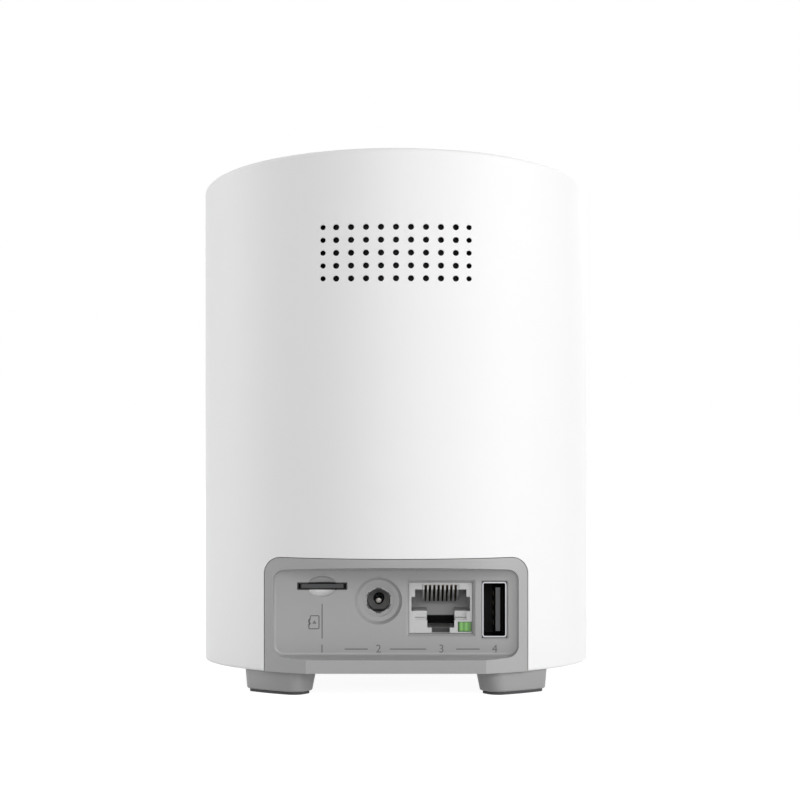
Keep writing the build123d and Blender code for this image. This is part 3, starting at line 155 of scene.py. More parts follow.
def insideBox(tree, place, low, high, soft=0.15):
    # 1 inside a box and 0 outside: a smooth step of the largest of |p - middle| - half over the
    # three axes; the corners and the half width of the step are in mm
    low, high = np.array(low) * mm, np.array(high) * mm
    away = addNode(tree, "VectorMath", {"operation": "SUBTRACT", 1: (low + high) / 2}, {0: place})
    away = addNode(tree, "VectorMath", {"operation": "ABSOLUTE"}, {0: away.outputs[0]})
    over = addNode(tree, "VectorMath", {"operation": "SUBTRACT", 1: (high - low) / 2},
                   {0: away.outputs[0]})
    split = addNode(tree, "SeparateXYZ", {}, {0: over.outputs[0]})
    most = addNode(tree, "Math", {"operation": "MAXIMUM"},
                   {0: split.outputs["X"], 1: split.outputs["Y"]})
    most = addNode(tree, "Math", {"operation": "MAXIMUM"},
                   {0: most.outputs[0], 1: split.outputs["Z"]})
    step = addNode(tree, "MapRange", {"interpolation_type": "SMOOTHSTEP", "From Min": -soft * mm,
                                      "From Max": soft * mm, "To Min": 1.0, "To Max": 0.0},
                   {"Value": most.outputs[0]})
    return step.outputs["Result"]


def paintLightAndShade(tree, shader, place, tone, look):
    # lays the look's patches of painted light and shade over the tone: each has a colour, a share
    # of the usual reflection and the two corners of its box
    shine = None
    for colour, level, low, high in look.get("patches", ()):
        inside = insideBox(tree, place, low, high)
        tone = addNode(tree, "Mix", {"data_type": "RGBA", 7: toLinear(colour)},
                       {0: inside, 6: tone}).outputs[2]
        before = {2: shine} if shine else {}
        shine = addNode(tree, "Mix", {2: 0.5, 3: 0.5 * level}, {0: inside, **before}).outputs[0]
    if shine:
        tree.links.new(shine, shader.inputs["Specular IOR Level"])
    return tone


# Plastics

def mouldedPlastic(name, look):
    # injection-moulded thermoplastic: one even colour that drifts slowly where the melt cooled
    # unevenly, and a spark-eroded grain that breaks up the gloss
    material, tree, shader, place = startMaterial(name, {"IOR": look["ior"]})
    drift = noiseOf(tree, place, look["drift"], Detail=3.0)
    grain = noiseOf(tree, place, look["grain"], Detail=4.0, Roughness=0.6)
    linkShader(tree, shader, {
        "Base Color": paintLightAndShade(tree, shader, place, mixTone(tree, look, drift), look),
        "Roughness": rangeOf(tree, grain, look["roughness"] - look["spread"],
                             look["roughness"] + look["spread"]),
        "Normal": bumpOf(tree, grain, look)})
    return material


# ABS cover: matt white, with a fine grain drawn at 0.5 mm so that it just shows
shellLook = {"colour": "e9e9e9", "shade": "e6e6e6", "ior": 1.53, "roughness": 0.55,
             "spread": 0.08, "grain": 0.5, "relief": 0.012, "strength": 0.5, "drift": 40.0}
giveMaterial(mouldedPlastic("mattWhiteAbs", shellLook), "outer_shell")

# ABS port surround: mid grey with a glossier skin than the cover, and painted light on the lower
# half of the scoop round the card slot, which faces up: it is drawn paler, as if lit from above
cardFront = cornersOf("memory_card")[1][1]
bayLook = {"colour": "a1a1a1", "shade": "9d9d9d", "ior": 1.53, "roughness": 0.3,
           "spread": 0.07, "grain": 0.4, "relief": 0.012, "strength": 0.5, "drift": 25.0,
           # paler lower half of the scoop: painted light
           "patches": [("d4d4d4", 1.0, (13.9, 0, 20), (21.1, cardFront + 0.25, 25.4))]}
giveMaterial(mouldedPlastic("greyBayAbs", bayLook), "port_bay")

# ABS base: the same grey plastic with a coarser grain
baseLook = {"colour": "949494", "shade": "8e8e8e", "ior": 1.53, "roughness": 0.48,
            "spread": 0.08, "grain": 0.6, "relief": 0.02, "strength": 0.6, "drift": 25.0}
giveMaterial(mouldedPlastic("greyBaseAbs", baseLook), "base_tray")

# PC/ABS chassis inside, with a plain eroded skin
chassisLook = {"colour": "b4b4b6", "shade": "acacae", "ior": 1.55, "roughness": 0.55,
               "spread": 0.08, "grain": 0.7, "relief": 0.02, "strength": 0.6, "drift": 30.0}
giveMaterial(mouldedPlastic("greyChassisAbs", chassisLook), "inner_frame", "top_carrier")

# PBT network jack: light grey, fairly glossy, straight from a polished tool; the latch recess
# and the slot under it are darkened, as shade leaves them
jackFront = cornersOf("lan_housing")[1][1]
jackLook = {"colour": "c4c4c4", "shade": "bebebe", "ior": 1.56, "roughness": 0.4,
            "spread": 0.06, "grain": 0.3, "relief": 0.006, "strength": 0.4, "drift": 8.0,
            "patches": [("060606", 0.1, (-13.95, 0, 15.7), (-7.25, jackFront - 0.3, 17.8)),
                        ("4a4a4a", 0.3, (-12.8, 0, 14.5), (-8.4, jackFront - 0.2, 15.7))]}
giveMaterial(mouldedPlastic("greyJackPbt", jackLook), "lan_housing", "lan_comb")

# Glass-filled nylon: black, with a faint streaky skin
nylonLook = {"colour": "1b1b1c", "shade": "252526", "ior": 1.53, "roughness": 0.45,
             "spread": 0.1, "grain": 0.35, "relief": 0.01, "strength": 0.5, "drift": 4.0}
giveMaterial(mouldedPlastic("blackNylon", nylonLook), "card_socket_base", "board_sockets",
             "top_socket", "button_switch", "reset_switch", "speaker_frame")

# Inlet: the same nylon, with painted light at the bottom of its bore: a pale grey disc that lifts
# it out of the shade
borePlace = np.array([mount["pos_m"] for mount in frame["record"]["mounts"]
                      if mount["name"] == "power_pin"][0]) / mm
# pale grey at the bottom of the bore: painted light
inletLook = dict(nylonLook, patches=[("c4c4c2", 1.0, borePlace - (2.7, borePlace[1], 2.7),
                                      borePlace + (2.7, 0.3, 2.7))])
giveMaterial(mouldedPlastic("inletNylon", inletLook), "inlet_body")

# USB tongue: dark grey filled nylon, with painted shade, near black, behind its front face
tongueLow, tongueHigh = cornersOf("usb_tongue")
tongueLook = {"colour": "424345", "shade": "3a3b3d", "ior": 1.53, "roughness": 0.5,
              "spread": 0.08, "grain": 0.25, "relief": 0.006, "strength": 0.4, "drift": 5.0,
              "patches": [("0c0c0d", 0.3, tongueLow - 1, tongueHigh + (1, -0.25, 1))]}
giveMaterial(mouldedPlastic("greyTongueNylon", tongueLook), "usb_tongue")

# Memory card: dyed epoxy with a satin skin
cardLook = {"colour": "232426", "shade": "2a2b2d", "ior": 1.55, "roughness": 0.38,
            "spread": 0.08, "grain": 0.2, "relief": 0.004, "strength": 0.4, "drift": 4.0}
giveMaterial(mouldedPlastic("cardEpoxy", cardLook), "memory_card")

# Chip packages: transfer-moulded epoxy, dull and faintly gritty
packageLook = {"colour": "26272a", "shade": "2e2f32", "ior": 1.55, "roughness": 0.6,
               "spread": 0.1, "grain": 0.15, "relief": 0.006, "strength": 0.5, "drift": 6.0}
giveMaterial(mouldedPlastic("chipEpoxy", packageLook), "processor_chip", "memory_chips",
             "lan_transformer")

# Sync button: PC with a satin finish
buttonLook = {"colour": "202124", "shade": "26272a", "ior": 1.58, "roughness": 0.36,
              "spread": 0.06, "grain": 0.25, "relief": 0.005, "strength": 0.4, "drift": 10.0}
giveMaterial(mouldedPlastic("satinButtonPc", buttonLook), "sync_button")

# Reset button: dark grey acetal
resetLook = {"colour": "5a5b5e", "shade": "535457", "ior": 1.48, "roughness": 0.4,
             "spread": 0.06, "grain": 0.25, "relief": 0.006, "strength": 0.4, "drift": 4.0}
giveMaterial(mouldedPlastic("greyAcetal", resetLook), "reset_button")

# Lead sheaths: extruded PVC, smooth with a slight drag along the length
leadLook = {"colour": "1c1c1e", "shade": "232325", "ior": 1.54, "roughness": 0.42,
            "spread": 0.08, "grain": 0.4, "relief": 0.004, "strength": 0.3, "drift": 6.0}
giveMaterial(mouldedPlastic("blackPvcSheath", leadLook), "speaker_leads", "antenna_leads")

# Flat cable: off-white polyester film over flat conductors
flexLook = {"colour": "d8d8d2", "shade": "cfcfc8", "ior": 1.6, "roughness": 0.35,
            "spread": 0.05, "grain": 0.5, "relief": 0.004, "strength": 0.3, "drift": 5.0}
giveMaterial(mouldedPlastic("polyesterFilm", flexLook), "top_cable")

# Speaker cone: pressed black paper with a coated face
coneLook = {"colour": "1d1d1e", "shade": "29292a", "ior": 1.45, "roughness": 0.8,
            "spread": 0.1, "grain": 0.3, "relief": 0.03, "strength": 0.8, "drift": 3.0}
giveMaterial(mouldedPlastic("pressedPaper", coneLook), "speaker_cone")
print("plastics done")


# Rubber and foam

padLook = {"colour": "4b4b4d", "shade": "434345", "roughness": 0.85, "grain": 0.45,
           "relief": 0.03, "ior": 1.52, "dust": 4.0, "sheen": 0.15, "strength": 0.5}


def mouldedRubber(name, look):
    # compression-moulded rubber: dark, very matt, with a sheen at grazing angles and fine pits
    constants = {"IOR": look["ior"], "Roughness": look["roughness"], "Sheen Weight": look["sheen"],
                 "Sheen Roughness": 0.5}
    material, tree, shader, place = startMaterial(name, constants)
    pits = addNode(tree, "TexVoronoi", {"Scale": 1 / (look["grain"] * mm)}, {"Vector": place})
    dust = noiseOf(tree, place, look["dust"], Detail=5.0)
    linkShader(tree, shader, {"Base Color": mixTone(tree, look, dust),
                              "Normal": bumpOf(tree, pits.outputs["Distance"], look)})
    return material


giveMaterial(mouldedRubber("padRubber", padLook), "foot_pads")

# Closed-cell foam: the same matt body with cells of about 0.6 mm
foamLook = {"colour": "1a1a1b", "shade": "242425", "roughness": 0.95, "grain": 0.6,
            "relief": 0.12, "ior": 1.4, "dust": 4.0, "sheen": 0.15, "strength": 0.5}
giveMaterial(mouldedRubber("closedCellFoam", foamLook), "speaker_gasket")


# Metals

lineStrength = 0.3  # bump of the lines on every metal


def platedMetal(name, look):
    # rolled, drawn or turned metal: its lines run along one axis and stretch the highlight
    material, tree, shader, place = startMaterial(name, {"Metallic": 1.0})
    stretch = addNode(tree, "Mapping", {"Scale": look["lines"]}, {"Vector": place})
    lines = noiseOf(tree, stretch.outputs["Vector"], look["grain"], Detail=5.0)
    linkShader(tree, shader, {
        "Base Color": paintLightAndShade(tree, shader, place, mixTone(tree, look, lines), look),
        "Roughness": rangeOf(tree, lines, look["roughness"] - look["spread"],
                             look["roughness"] + look["spread"]),
        "Normal": bumpOf(tree, lines, dict(look, strength=lineStrength))})
    return material


# Heat sink: extruded, anodised aluminium with die lines along its fins
sinkLook = {"colour": "c9cbcf", "shade": "b4b6ba", "roughness": 0.38, "spread": 0.1,
            "grain": 0.5, "relief": 0.01, "lines": (1.0, 0.05, 1.0)}
giveMaterial(platedMetal("extrudedAluminium", sinkLook), "heat_sink")

# Capacitor cans: drawn aluminium, brighter, with lines round the can
canLook = {"colour": "cfd0d4", "shade": "bcbdc1", "roughness": 0.28, "spread": 0.08,
           "grain": 0.4, "relief": 0.004, "lines": (0.2, 0.2, 1.0)}
giveMaterial(platedMetal("drawnAluminium", canLook), "capacitors")

# Radio can and card cover: tinned steel sheet, soft grey with a rolled grain
tinLook = {"colour": "bfc0c2", "shade": "a7a8aa", "roughness": 0.34, "spread": 0.1,
           "grain": 0.6, "relief": 0.005, "lines": (1.0, 0.1, 1.0)}
giveMaterial(platedMetal("tinnedSheet", tinLook), "radio_shield", "card_socket_cover")

# USB shell: nickel-plated steel strip, folded, and darkened inside, as shade leaves it
usbLow, usbHigh = cornersOf("usb_shell")
shellSteelLook = {"colour": "b8b9bc", "shade": "a8a9ac", "roughness": 0.32, "spread": 0.08,
                  "grain": 0.4, "relief": 0.004, "lines": (1.0, 0.08, 1.0),
                  "patches": [("0d0d0e", 0.1, usbLow + (0.15, 0, 0.15),
                               usbHigh - (0.15, 0.4, 0.15))]}
giveMaterial(platedMetal("nickelStrip", shellSteelLook), "usb_shell")

# Inlet pin: turned brass with nickel, bright at its tip, with painted shade, near black, behind it
pinLow, pinHigh = cornersOf("inlet_pin")
pinLook = {"colour": "8c8a86", "shade": "7c7a76", "roughness": 0.3, "spread": 0.05,
           "grain": 0.3, "relief": 0.003, "lines": (0.3, 1.0, 0.3),
           "patches": [("111112", 0.1, pinLow, pinHigh - (0, 0.12, 0))]}
giveMaterial(platedMetal("turnedNickel", pinLook), "inlet_pin")

# Inlet sleeve contact: spring bronze, tinned and tarnished in the bore
petalLook = {"colour": "77787a", "shade": "5c5d5f", "roughness": 0.42, "spread": 0.1,
             "grain": 0.3, "relief": 0.004, "lines": (1.0, 0.1, 1.0)}
giveMaterial(platedMetal("tinnedBronze", petalLook), "inlet_petals")

# Contacts: stamped bronze with a thin gold flash, drawn as a dark dull bronze: painted shade for
# the shade they lie in
goldLook = {"colour": "5e523f", "shade": "463b2c", "roughness": 0.35, "spread": 0.06,
            "grain": 0.25, "relief": 0.003, "lines": (1.0, 0.1, 1.0)}
giveMaterial(platedMetal("goldFlash", goldLook), "lan_contacts", "usb_contacts")

# Magnet and yoke: pressed steel with dull zinc
zincLook = {"colour": "9d9ea1", "shade": "85868a", "roughness": 0.42, "spread": 0.12,
            "grain": 0.8, "relief": 0.01, "lines": (1.0, 1.0, 1.0)}
giveMaterial(platedMetal("dullZinc", zincLook), "speaker_magnet")

# Screws: cold-headed steel with bright zinc and turned marks round the head
screwLook = {"colour": "b2b3b6", "shade": "97989b", "roughness": 0.3, "spread": 0.1,
             "grain": 0.25, "relief": 0.004, "lines": (1.0, 1.0, 0.4)}
brightZinc = platedMetal("brightZinc", screwLook)
print("metals done")


# Screws: each CAD screw gives the place, length and radii, and a turned surface takes its place.
# Lengths are in mm; shares are of the head's radius, height or the cross's arm
screwShape = {"columns": 48, "headRings": 21, "edgeRings": 4, "crown": 0.12, "edge": 0.3,
              "recessWidth": 0.17, "recessReach": 0.55, "recessDepth": 0.55, "recessSide": 0.7,
              "recessEnd": 0.8, "pitch": 0.8, "threadDepth": 0.22, "rowsPerTurn": 6,
              "plain": 0.3, "tip": 0.9, "tipOver": 0.3, "tipShrink": 0.75,
              "apart": 6.0, "rimShare": 0.9, "level": 0.01,
              "axes": {"base_screws": (0, 0, 1), "board_screws": (0, 0, 1),
                       "speaker_screws": (0, 1, 0), "lid_screws": None}}


def smoothStep(value, low, high):
    # 0 below low, 1 above high, and 3t squared less 2t cubed between them
    t = np.clip((value - low) / (high - low), 0, 1)
    return t * t * (3 - 2 * t)


def screwsOf(name, normal):
    # sorts the vertices of a node by screw: those within one head's reach of each other across
    # the screws' axis; gives the middle, both ends, whether the head is at the low end, the
    # head's and the shank's radius and the heights of the head's rim, in mm
    look = screwShape
    mesh = nodes[name].data
    points = np.zeros(len(mesh.vertices) * 3)
    mesh.vertices.foreach_get("co", points)
    basis = np.array([(1, 0, 0), np.cross(normal, (1, 0, 0)), normal], float)
    left = points.reshape(-1, 3) / mm @ basis.T
    found = []
    while len(left):
        near = np.hypot(*(left[:, :2] - left[0, :2]).T) < look["apart"]
        one, left = left[near], left[~near]
        middle = (one[:, :2].max(0) + one[:, :2].min(0)) / 2
        far = np.hypot(*(one[:, :2] - middle).T)
        along, wide = one[:, 2], far.max()
        ends = along.min(), along.max()
        head = along[far > look["rimShare"] * wide]
        headFirst = head.mean() < sum(ends) / 2
        atTip = np.abs(along - (ends[1] if headFirst else ends[0])) < look["level"]
        found.append((middle, ends, headFirst, wide, far[atTip].max(), head))
    return found, basis


def turnedScrew(middle, ends, headFirst, wide, narrow, head, basis):
    # rings of radius r at a depth under the head's top: a crowned head that drops with r squared,
    # a rounded edge, then a thread whose radius is a triangle wave of depth less turn, and a
    # point. The cross recess sinks the head where the smaller of |x| and |y| is under an arm's
    # half width and the larger one under its reach
    look = screwShape
    way = 1 if headFirst else -1
    turn = np.linspace(0, 2 * math.pi, look["columns"], endpoint=False)
    top, tip = ends[::way]
    headHeight = abs((head.max() if headFirst else head.min()) - top)
    length = abs(tip - top)
    flat = np.linspace(0, 1, look["headRings"] + 1)[1:]
    bend = np.linspace(0, math.pi / 2, look["edgeRings"] + 1)[1:]
    rows = int((length - headHeight) / look["pitch"] * look["rowsPerTurn"])
    shank = np.linspace(headHeight, length, rows + 1)[1:]
    radius = np.concatenate([flat * (wide - look["edge"]),
                             wide - look["edge"] + look["edge"] * np.sin(bend),
                             [wide, narrow], np.full(rows, narrow)])
    drop = np.concatenate([look["crown"] * flat ** 2,
                           look["crown"] + look["edge"] * (1 - np.cos(bend)),
                           [headHeight, headHeight], shank])
    radius = radius[:, None] * np.ones(len(turn))
    drop = drop[:, None] * np.ones(len(turn))
    wave = (drop / look["pitch"] - turn / (2 * math.pi)) % 1
    thread = look["threadDepth"] * np.abs(2 * wave - 1) * (drop > headHeight + look["plain"])
    taper = smoothStep(drop, length - look["tip"], length + look["tipOver"] * look["tip"])
    shrunk = (radius - thread) * (1 - look["tipShrink"] * taper)
    radius = np.where(drop > headHeight, shrunk, radius)
    x, y = radius * np.cos(turn), radius * np.sin(turn)
    near, farther = np.minimum(np.abs(x), np.abs(y)), np.maximum(np.abs(x), np.abs(y))
    arm, reach = look["recessWidth"] * wide, look["recessReach"] * wide
    sunk = (1 - smoothStep(near, look["recessSide"] * arm, arm)) * (
        1 - smoothStep(farther, look["recessEnd"] * reach, reach))
    sink = look["recessDepth"] * headHeight
    onHead = np.arange(len(radius))[:, None] < len(flat)
    drop = drop + np.where(onHead, sunk * sink, 0)
    local = np.stack([x + middle[0], y + middle[1], top + drop * way], -1).reshape(-1, 3)
    poles = [(*middle, top + sink * way), (*middle, tip)]
    count, columns = len(local), len(turn)
    first = np.arange(columns)
    after = np.roll(first, -1)
    caps = np.concatenate([np.stack([np.full(columns, count), after, first], -1),
                           np.stack([first, after, np.full(columns, count + 1)], -1)
                           + (count - columns, count - columns, 0)])
    faces = [f[::way] for f in gridFaces(len(radius), columns, True).tolist() + caps.tolist()]
    return np.concatenate([local, poles]) @ basis * mm, faces


def replaceScrews():
    slant = [joint["axis"] for joint in frame["record"]["behaviour"]["joints"]
             if joint["name"] == "sync_press"][0]
    for name, axis in screwShape["axes"].items():
        found, basis = screwsOf(name, np.array(axis or slant, float))
        vertices, faces, count = [], [], 0
        for one in found:
            points, corners = turnedScrew(*one, basis)
            faces += [[i + count for i in f] for f in corners]
            vertices.append(points)
            count += len(points)
        piece = meshPiece("turned_" + name, np.concatenate(vertices), faces, brightZinc,
                          "housing")
        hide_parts(name)
        print(name, "replaced by", len(found), "turned screws")


replaceScrews()


# Circuit boards

boardLook = {"colour": "0f5a34", "shade": "1c7a48", "pitch": 2.2, "width": 0.3, "trackLength": 3.0,
             "trackGap": 0.5, "patch": 9.0, "gate": 0.48, "roughness": 0.3, "ior": 1.55,
             "coat": 0.3, "coatRoughness": 0.15, "strength": 0.4, "relief": 0.03}


def solderResist(name, look):
    # glass-epoxy board under screened green resist: copper tracks show through as lighter,
    # slightly raised lines on a grid, dropped here and there
    constants = {"IOR": look["ior"], "Roughness": look["roughness"], "Coat Weight": look["coat"],
                 "Coat Roughness": look["coatRoughness"]}
    material, tree, shader, place = startMaterial(name, constants)
    tracks = addNode(tree, "TexBrick", {
        "Scale": 1 / (look["pitch"] * mm), "Mortar Size": look["width"] / look["pitch"] / 2,
        "Color1": (0, 0, 0, 1), "Color2": (0, 0, 0, 1), "Mortar": (1, 1, 1, 1),
        "Brick Width": look["trackLength"], "Row Height": look["trackGap"]}, {"Vector": place})
    gate = addNode(tree, "Math", {"operation": "GREATER_THAN", 1: look["gate"]},
                   {0: noiseOf(tree, place, look["patch"], Detail=1.0)})
    shown = addNode(tree, "Math", {"operation": "MULTIPLY"},
                    {0: tracks.outputs["Color"], 1: gate.outputs[0]}).outputs[0]
    linkShader(tree, shader, {"Base Color": mixTone(tree, look, shown),
                              "Normal": bumpOf(tree, shown, look)})
    return material


giveMaterial(solderResist("solderResist", boardLook), "main_board", "top_board", "antennas")


# Lid and lenses

panelLook = {"colour": "0b0b0d", "shade": "101114", "roughness": (0.084, 0.18), "ior": 1.49,
             "wipes": 14.0, "distortion": 1.5, "coat": 0.6, "coatRoughness": 0.04}


def glossPanel(name, look):
    # cast acrylic, black-backed and polished: deep black, a clear coat and faint wipe marks
    constants = {"IOR": look["ior"], "Coat Weight": look["coat"],
                 "Coat Roughness": look["coatRoughness"]}
    material, tree, shader, place = startMaterial(name, constants)
    wipes = noiseOf(tree, place, look["wipes"], Detail=6.0, Roughness=0.7,
                    Distortion=look["distortion"])
    linkShader(tree, shader, {"Base Color": mixTone(tree, look, wipes),
                              "Roughness": rangeOf(tree, wipes, *look["roughness"])})
    return material


giveMaterial(glossPanel("polishedAcrylic", panelLook), "top_panel")


def frostedLens(name, look):
    # moulded polycarbonate that scatters light: pale, milky and soft
    constants = {"IOR": look["ior"], "Roughness": look["roughness"],
                 "Transmission Weight": look["clear"], "Subsurface Weight": look["milk"],
                 "Subsurface Scale": look["depth"] * mm, "Subsurface Radius": (1.0, 1.0, 1.0)}
    material, tree, shader, place = startMaterial(name, constants)
    haze = noiseOf(tree, place, look["haze"], Detail=4.0)
    linkShader(tree, shader, {"Base Color": mixTone(tree, look, haze),
                              "Normal": bumpOf(tree, haze, look)})
    return material


# Light ring: frosted, unlit
ringLook = {"colour": "dfe3e7", "shade": "d3d8dd", "roughness": 0.4, "ior": 1.58, "clear": 0.25,
            "milk": 0.4, "depth": 2.0, "haze": 1.2, "strength": 0.3, "relief": 0.01}
giveMaterial(frostedLens("frostedPolycarbonate", ringLook), "light_ring")

# Status lights on the top board: pale yellow phosphor under a clear dome
phosphorLook = {"colour": "eee9c4", "shade": "e2dcae", "roughness": 0.3, "ior": 1.58, "clear": 0.0,
                "milk": 0.3, "depth": 2.0, "haze": 0.5, "strength": 0.3, "relief": 0.01}
giveMaterial(frostedLens("phosphorLens", phosphorLook), "status_lights")

# Network light: moulded green polycarbonate, ribbed from top to bottom inside, so that
# lighter and darker bands stand side by side, with dark edges where the jack shades it
ribLook = {"colour": "7ab45f", "shade": "4f8a3d", "edge": "1f4a1c", "pitch": 1.15,
           "edgeWidth": 0.5, "distortion": 0.4, "roughness": 0.3, "milk": 0.2, "depth": 1.0,
           "ior": 1.58, "glow": 0.05, "strength": 0.4, "relief": 0.05}


def ribbedLens(look):
    low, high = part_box("lan_light")
    constants = {"IOR": look["ior"], "Roughness": look["roughness"],
                 "Subsurface Weight": look["milk"], "Subsurface Scale": look["depth"] * mm,
                 "Emission Strength": look["glow"], "Emission Color": toLinear(look["colour"])}
    material, tree, shader, place = startMaterial("ribbedGreenLens", constants)
    split = addNode(tree, "SeparateXYZ", {}, {0: place})
    ribs = addNode(tree, "TexWave", {"Scale": math.pi / (10 * look["pitch"] * mm),
                                     "bands_direction": "X", "Distortion": look["distortion"]},
                   {"Vector": place}).outputs["Fac"]
    away = addNode(tree, "Math", {"operation": "SUBTRACT", 1: (low.x + high.x) / 2},
                   {0: split.outputs["X"]})
    away = addNode(tree, "Math", {"operation": "ABSOLUTE"}, {0: away.outputs[0]})
    half = (high.x - low.x) / 2
    rim = addNode(tree, "MapRange", {"interpolation_type": "SMOOTHSTEP",
                                     "From Min": half - look["edgeWidth"] * mm,
                                     "From Max": half}, {"Value": away.outputs[0]})
    bands = addNode(tree, "Mix", {"data_type": "RGBA", 6: toLinear(look["shade"]),
                                  7: toLinear(look["colour"])}, {0: ribs})
    tone = addNode(tree, "Mix", {"data_type": "RGBA", 7: toLinear(look["edge"])},
                   {0: rim.outputs["Result"], 6: bands.outputs[2]})
    linkShader(tree, shader, {"Base Color": tone.outputs[2], "Normal": bumpOf(tree, ribs, look)})
    return material


giveMaterial(ribbedLens(ribLook), "lan_light")
print("boards and lenses done")


# Printed marks on the port panel, sizes in mm

printLook = {"colour": "626262", "shade": "6c6c6c", "ior": 1.5, "roughness": 0.6, "speckle": 0.3,
             "proud": 0.02, "cardSetback": 0.4, "line": 0.26, "sharpest": 0.3,
             "numberHeight": 1.9, "heightShare": 0.7, "numberZ": 10.7,
             "numbers": {"1": 17.55, "2": 4.16, "3": -10.74, "4": -23.39},
             "dashes": ((12.19, 6.72), (1.44, -7.14), (-14.24, -19.81)),
             "riser": (17.52, 21.4, 13.2),
             "cardPlace": (19.46, 17.06), "cardSize": (2.4, 3.1), "cardRound": 0.28}


def padPrint():
    # pad-printed ink: a flat film, slightly darker than the plastic and a little uneven
    material, tree, shader, place = startMaterial(
        "padPrintInk", {"IOR": printLook["ior"], "Roughness": printLook["roughness"]})
    speckle = noiseOf(tree, place, printLook["speckle"], Detail=3.0)
    linkShader(tree, shader, {"Base Color": mixTone(tree, printLook, speckle)})
    return material


ink = padPrint()
panelY = cardFront + printLook["cardSetback"]  # the card lies behind the panel


def bandAlong(points, width, closed):
    # a flat band: each point of the path moves half the width to both sides along the mitre
    path = np.array(points, float)
    before = np.roll(path, 1, 0) if closed else np.vstack([2 * path[0] - path[1], path[:-1]])
    after = np.roll(path, -1, 0) if closed else np.vstack([path[1:], 2 * path[-1] - path[-2]])
    first = (path - before) / np.linalg.norm(path - before, axis=1, keepdims=True)
    second = (after - path) / np.linalg.norm(after - path, axis=1, keepdims=True)
    mitre = first + second
    mitre /= np.linalg.norm(mitre, axis=1, keepdims=True)
    side = np.stack([-mitre[:, 1], mitre[:, 0]], 1)
    reach = width / 2 / np.maximum(np.abs((mitre * second).sum(1)), printLook["sharpest"])
    return np.stack([path + side * reach[:, None], path - side * reach[:, None]])


def onPanel(flat):
    # places flat (x, z) points on the port panel, just proud of it, in metres
    y = np.full(flat.shape[:-1] + (1,), panelY + printLook["proud"])
    return np.concatenate([flat[..., :1], y, flat[..., 1:]], -1) * mm


def faceBack(piece):
    # turns every face of a flat print towards the back, +Y, where it lies the other way
    mesh = piece.data
    normals = np.zeros(len(mesh.polygons) * 3)
    mesh.polygons.foreach_get("normal", normals)
    if normals.reshape(-1, 3)[:, 1].sum() < 0:
        mesh.flip_normals()


def printLines():
    bands = []
    z = printLook["numberZ"]
    for start, end in printLook["dashes"]:
        bands.append(bandAlong([(start, z), (end, z)], printLook["line"], False))
    x, top, bottom = printLook["riser"]
    bands.append(bandAlong([(x, top), (x, bottom)], printLook["line"], False))
    vertices = onPanel(np.concatenate([b.transpose(1, 0, 2).reshape(-1, 2) for b in bands]))
    faces = [(4 * i, 4 * i + 1, 4 * i + 3, 4 * i + 2) for i in range(len(bands))]
    faceBack(meshPiece("printLines", vertices, faces, ink, "housing", False))


def roundedPath(points, radius, steps=5):
    # each corner C becomes the curve (1-t)(1-t)A + 2t(1-t)C + ttB, with A and B a radius away
    corners = np.array(points, float)
    toward = np.roll(corners, 1, 0) - corners
    onward = np.roll(corners, -1, 0) - corners
    start = corners + toward / np.linalg.norm(toward, axis=1, keepdims=True) * radius
    end = corners + onward / np.linalg.norm(onward, axis=1, keepdims=True) * radius
    t = np.linspace(0, 1, steps)[None, :, None]
    curve = ((1 - t) ** 2 * start[:, None] + 2 * t * (1 - t) * corners[:, None]
             + t ** 2 * end[:, None])
    return curve.reshape(-1, 2)


def printCard():
    # outline of a memory card with its stepped and notched side, and a small triangle in it
    x, z = printLook["cardPlace"]
    w, h = printLook["cardSize"][0] / 2, printLook["cardSize"][1] / 2
    shape = np.array([(1, -1), (1, -0.35), (0.72, -0.22), (1, -0.02), (1, 0.3), (0.72, 0.52),
                      (0.72, 1), (-1, 1), (-1, -1)])
    outline = roundedPath(shape * (w, h) + (x, z), printLook["cardRound"])
    band = bandAlong(outline, printLook["line"], True)
    count = len(outline)
    faces = gridFaces(2, count, True).tolist()
    triangle = np.array([(-0.42, -0.22), (0.42, -0.22), (0, 0.3)]) * (w, h) + (x - 0.1 * w, z)
    vertices = onPanel(np.concatenate([band.reshape(-1, 2), triangle]))
    faces.append((2 * count, 2 * count + 1, 2 * count + 2))
    faceBack(meshPiece("printCard", vertices, faces, ink, "housing", False))


def printNumbers():
    # one numeral under each port, set as text, made a mesh and then turned to face the back
    for digit, x in printLook["numbers"].items():
        curve = bpy.data.curves.new("number" + digit, "FONT")
        curve.body, curve.align_x, curve.align_y = digit, "CENTER", "CENTER"
        curve.size = printLook["numberHeight"] / printLook["heightShare"]
        text = bpy.data.objects.new("numberText" + digit, curve)
        bpy.context.scene.collection.objects.link(text)
        bpy.context.view_layer.update()
        made = bpy.data.meshes.new_from_object(text)
        flat = np.zeros(len(made.vertices) * 3)
        made.vertices.foreach_get("co", flat)
        flat = flat.reshape(-1, 3)[:, :2] * (-1, 1) + (x, printLook["numberZ"])
        faces = [tuple(p.vertices) for p in made.polygons]
        bpy.data.objects.remove(text)
        faceBack(meshPiece("printNumber" + digit, onPanel(flat), faces, ink, "housing",
                           False))


printLines()
printCard()
printNumbers()
print("printed marks done")


# Wire gauze behind the speaker grille, against the inside of the cover

gauzeLook = {"colour": "0c0c0d", "metal": 0.3, "ior": 1.5, "mesh": 0.3, "mortar": 0.12,
             "roughness": (0.5, 0.8), "strength": 0.6, "relief": 0.05,
             "halfWidth": 17.2, "halfHeight": 7.8, "radius": 45.18, "thickness": 0.08,
             "columns": 41, "rows": 9}


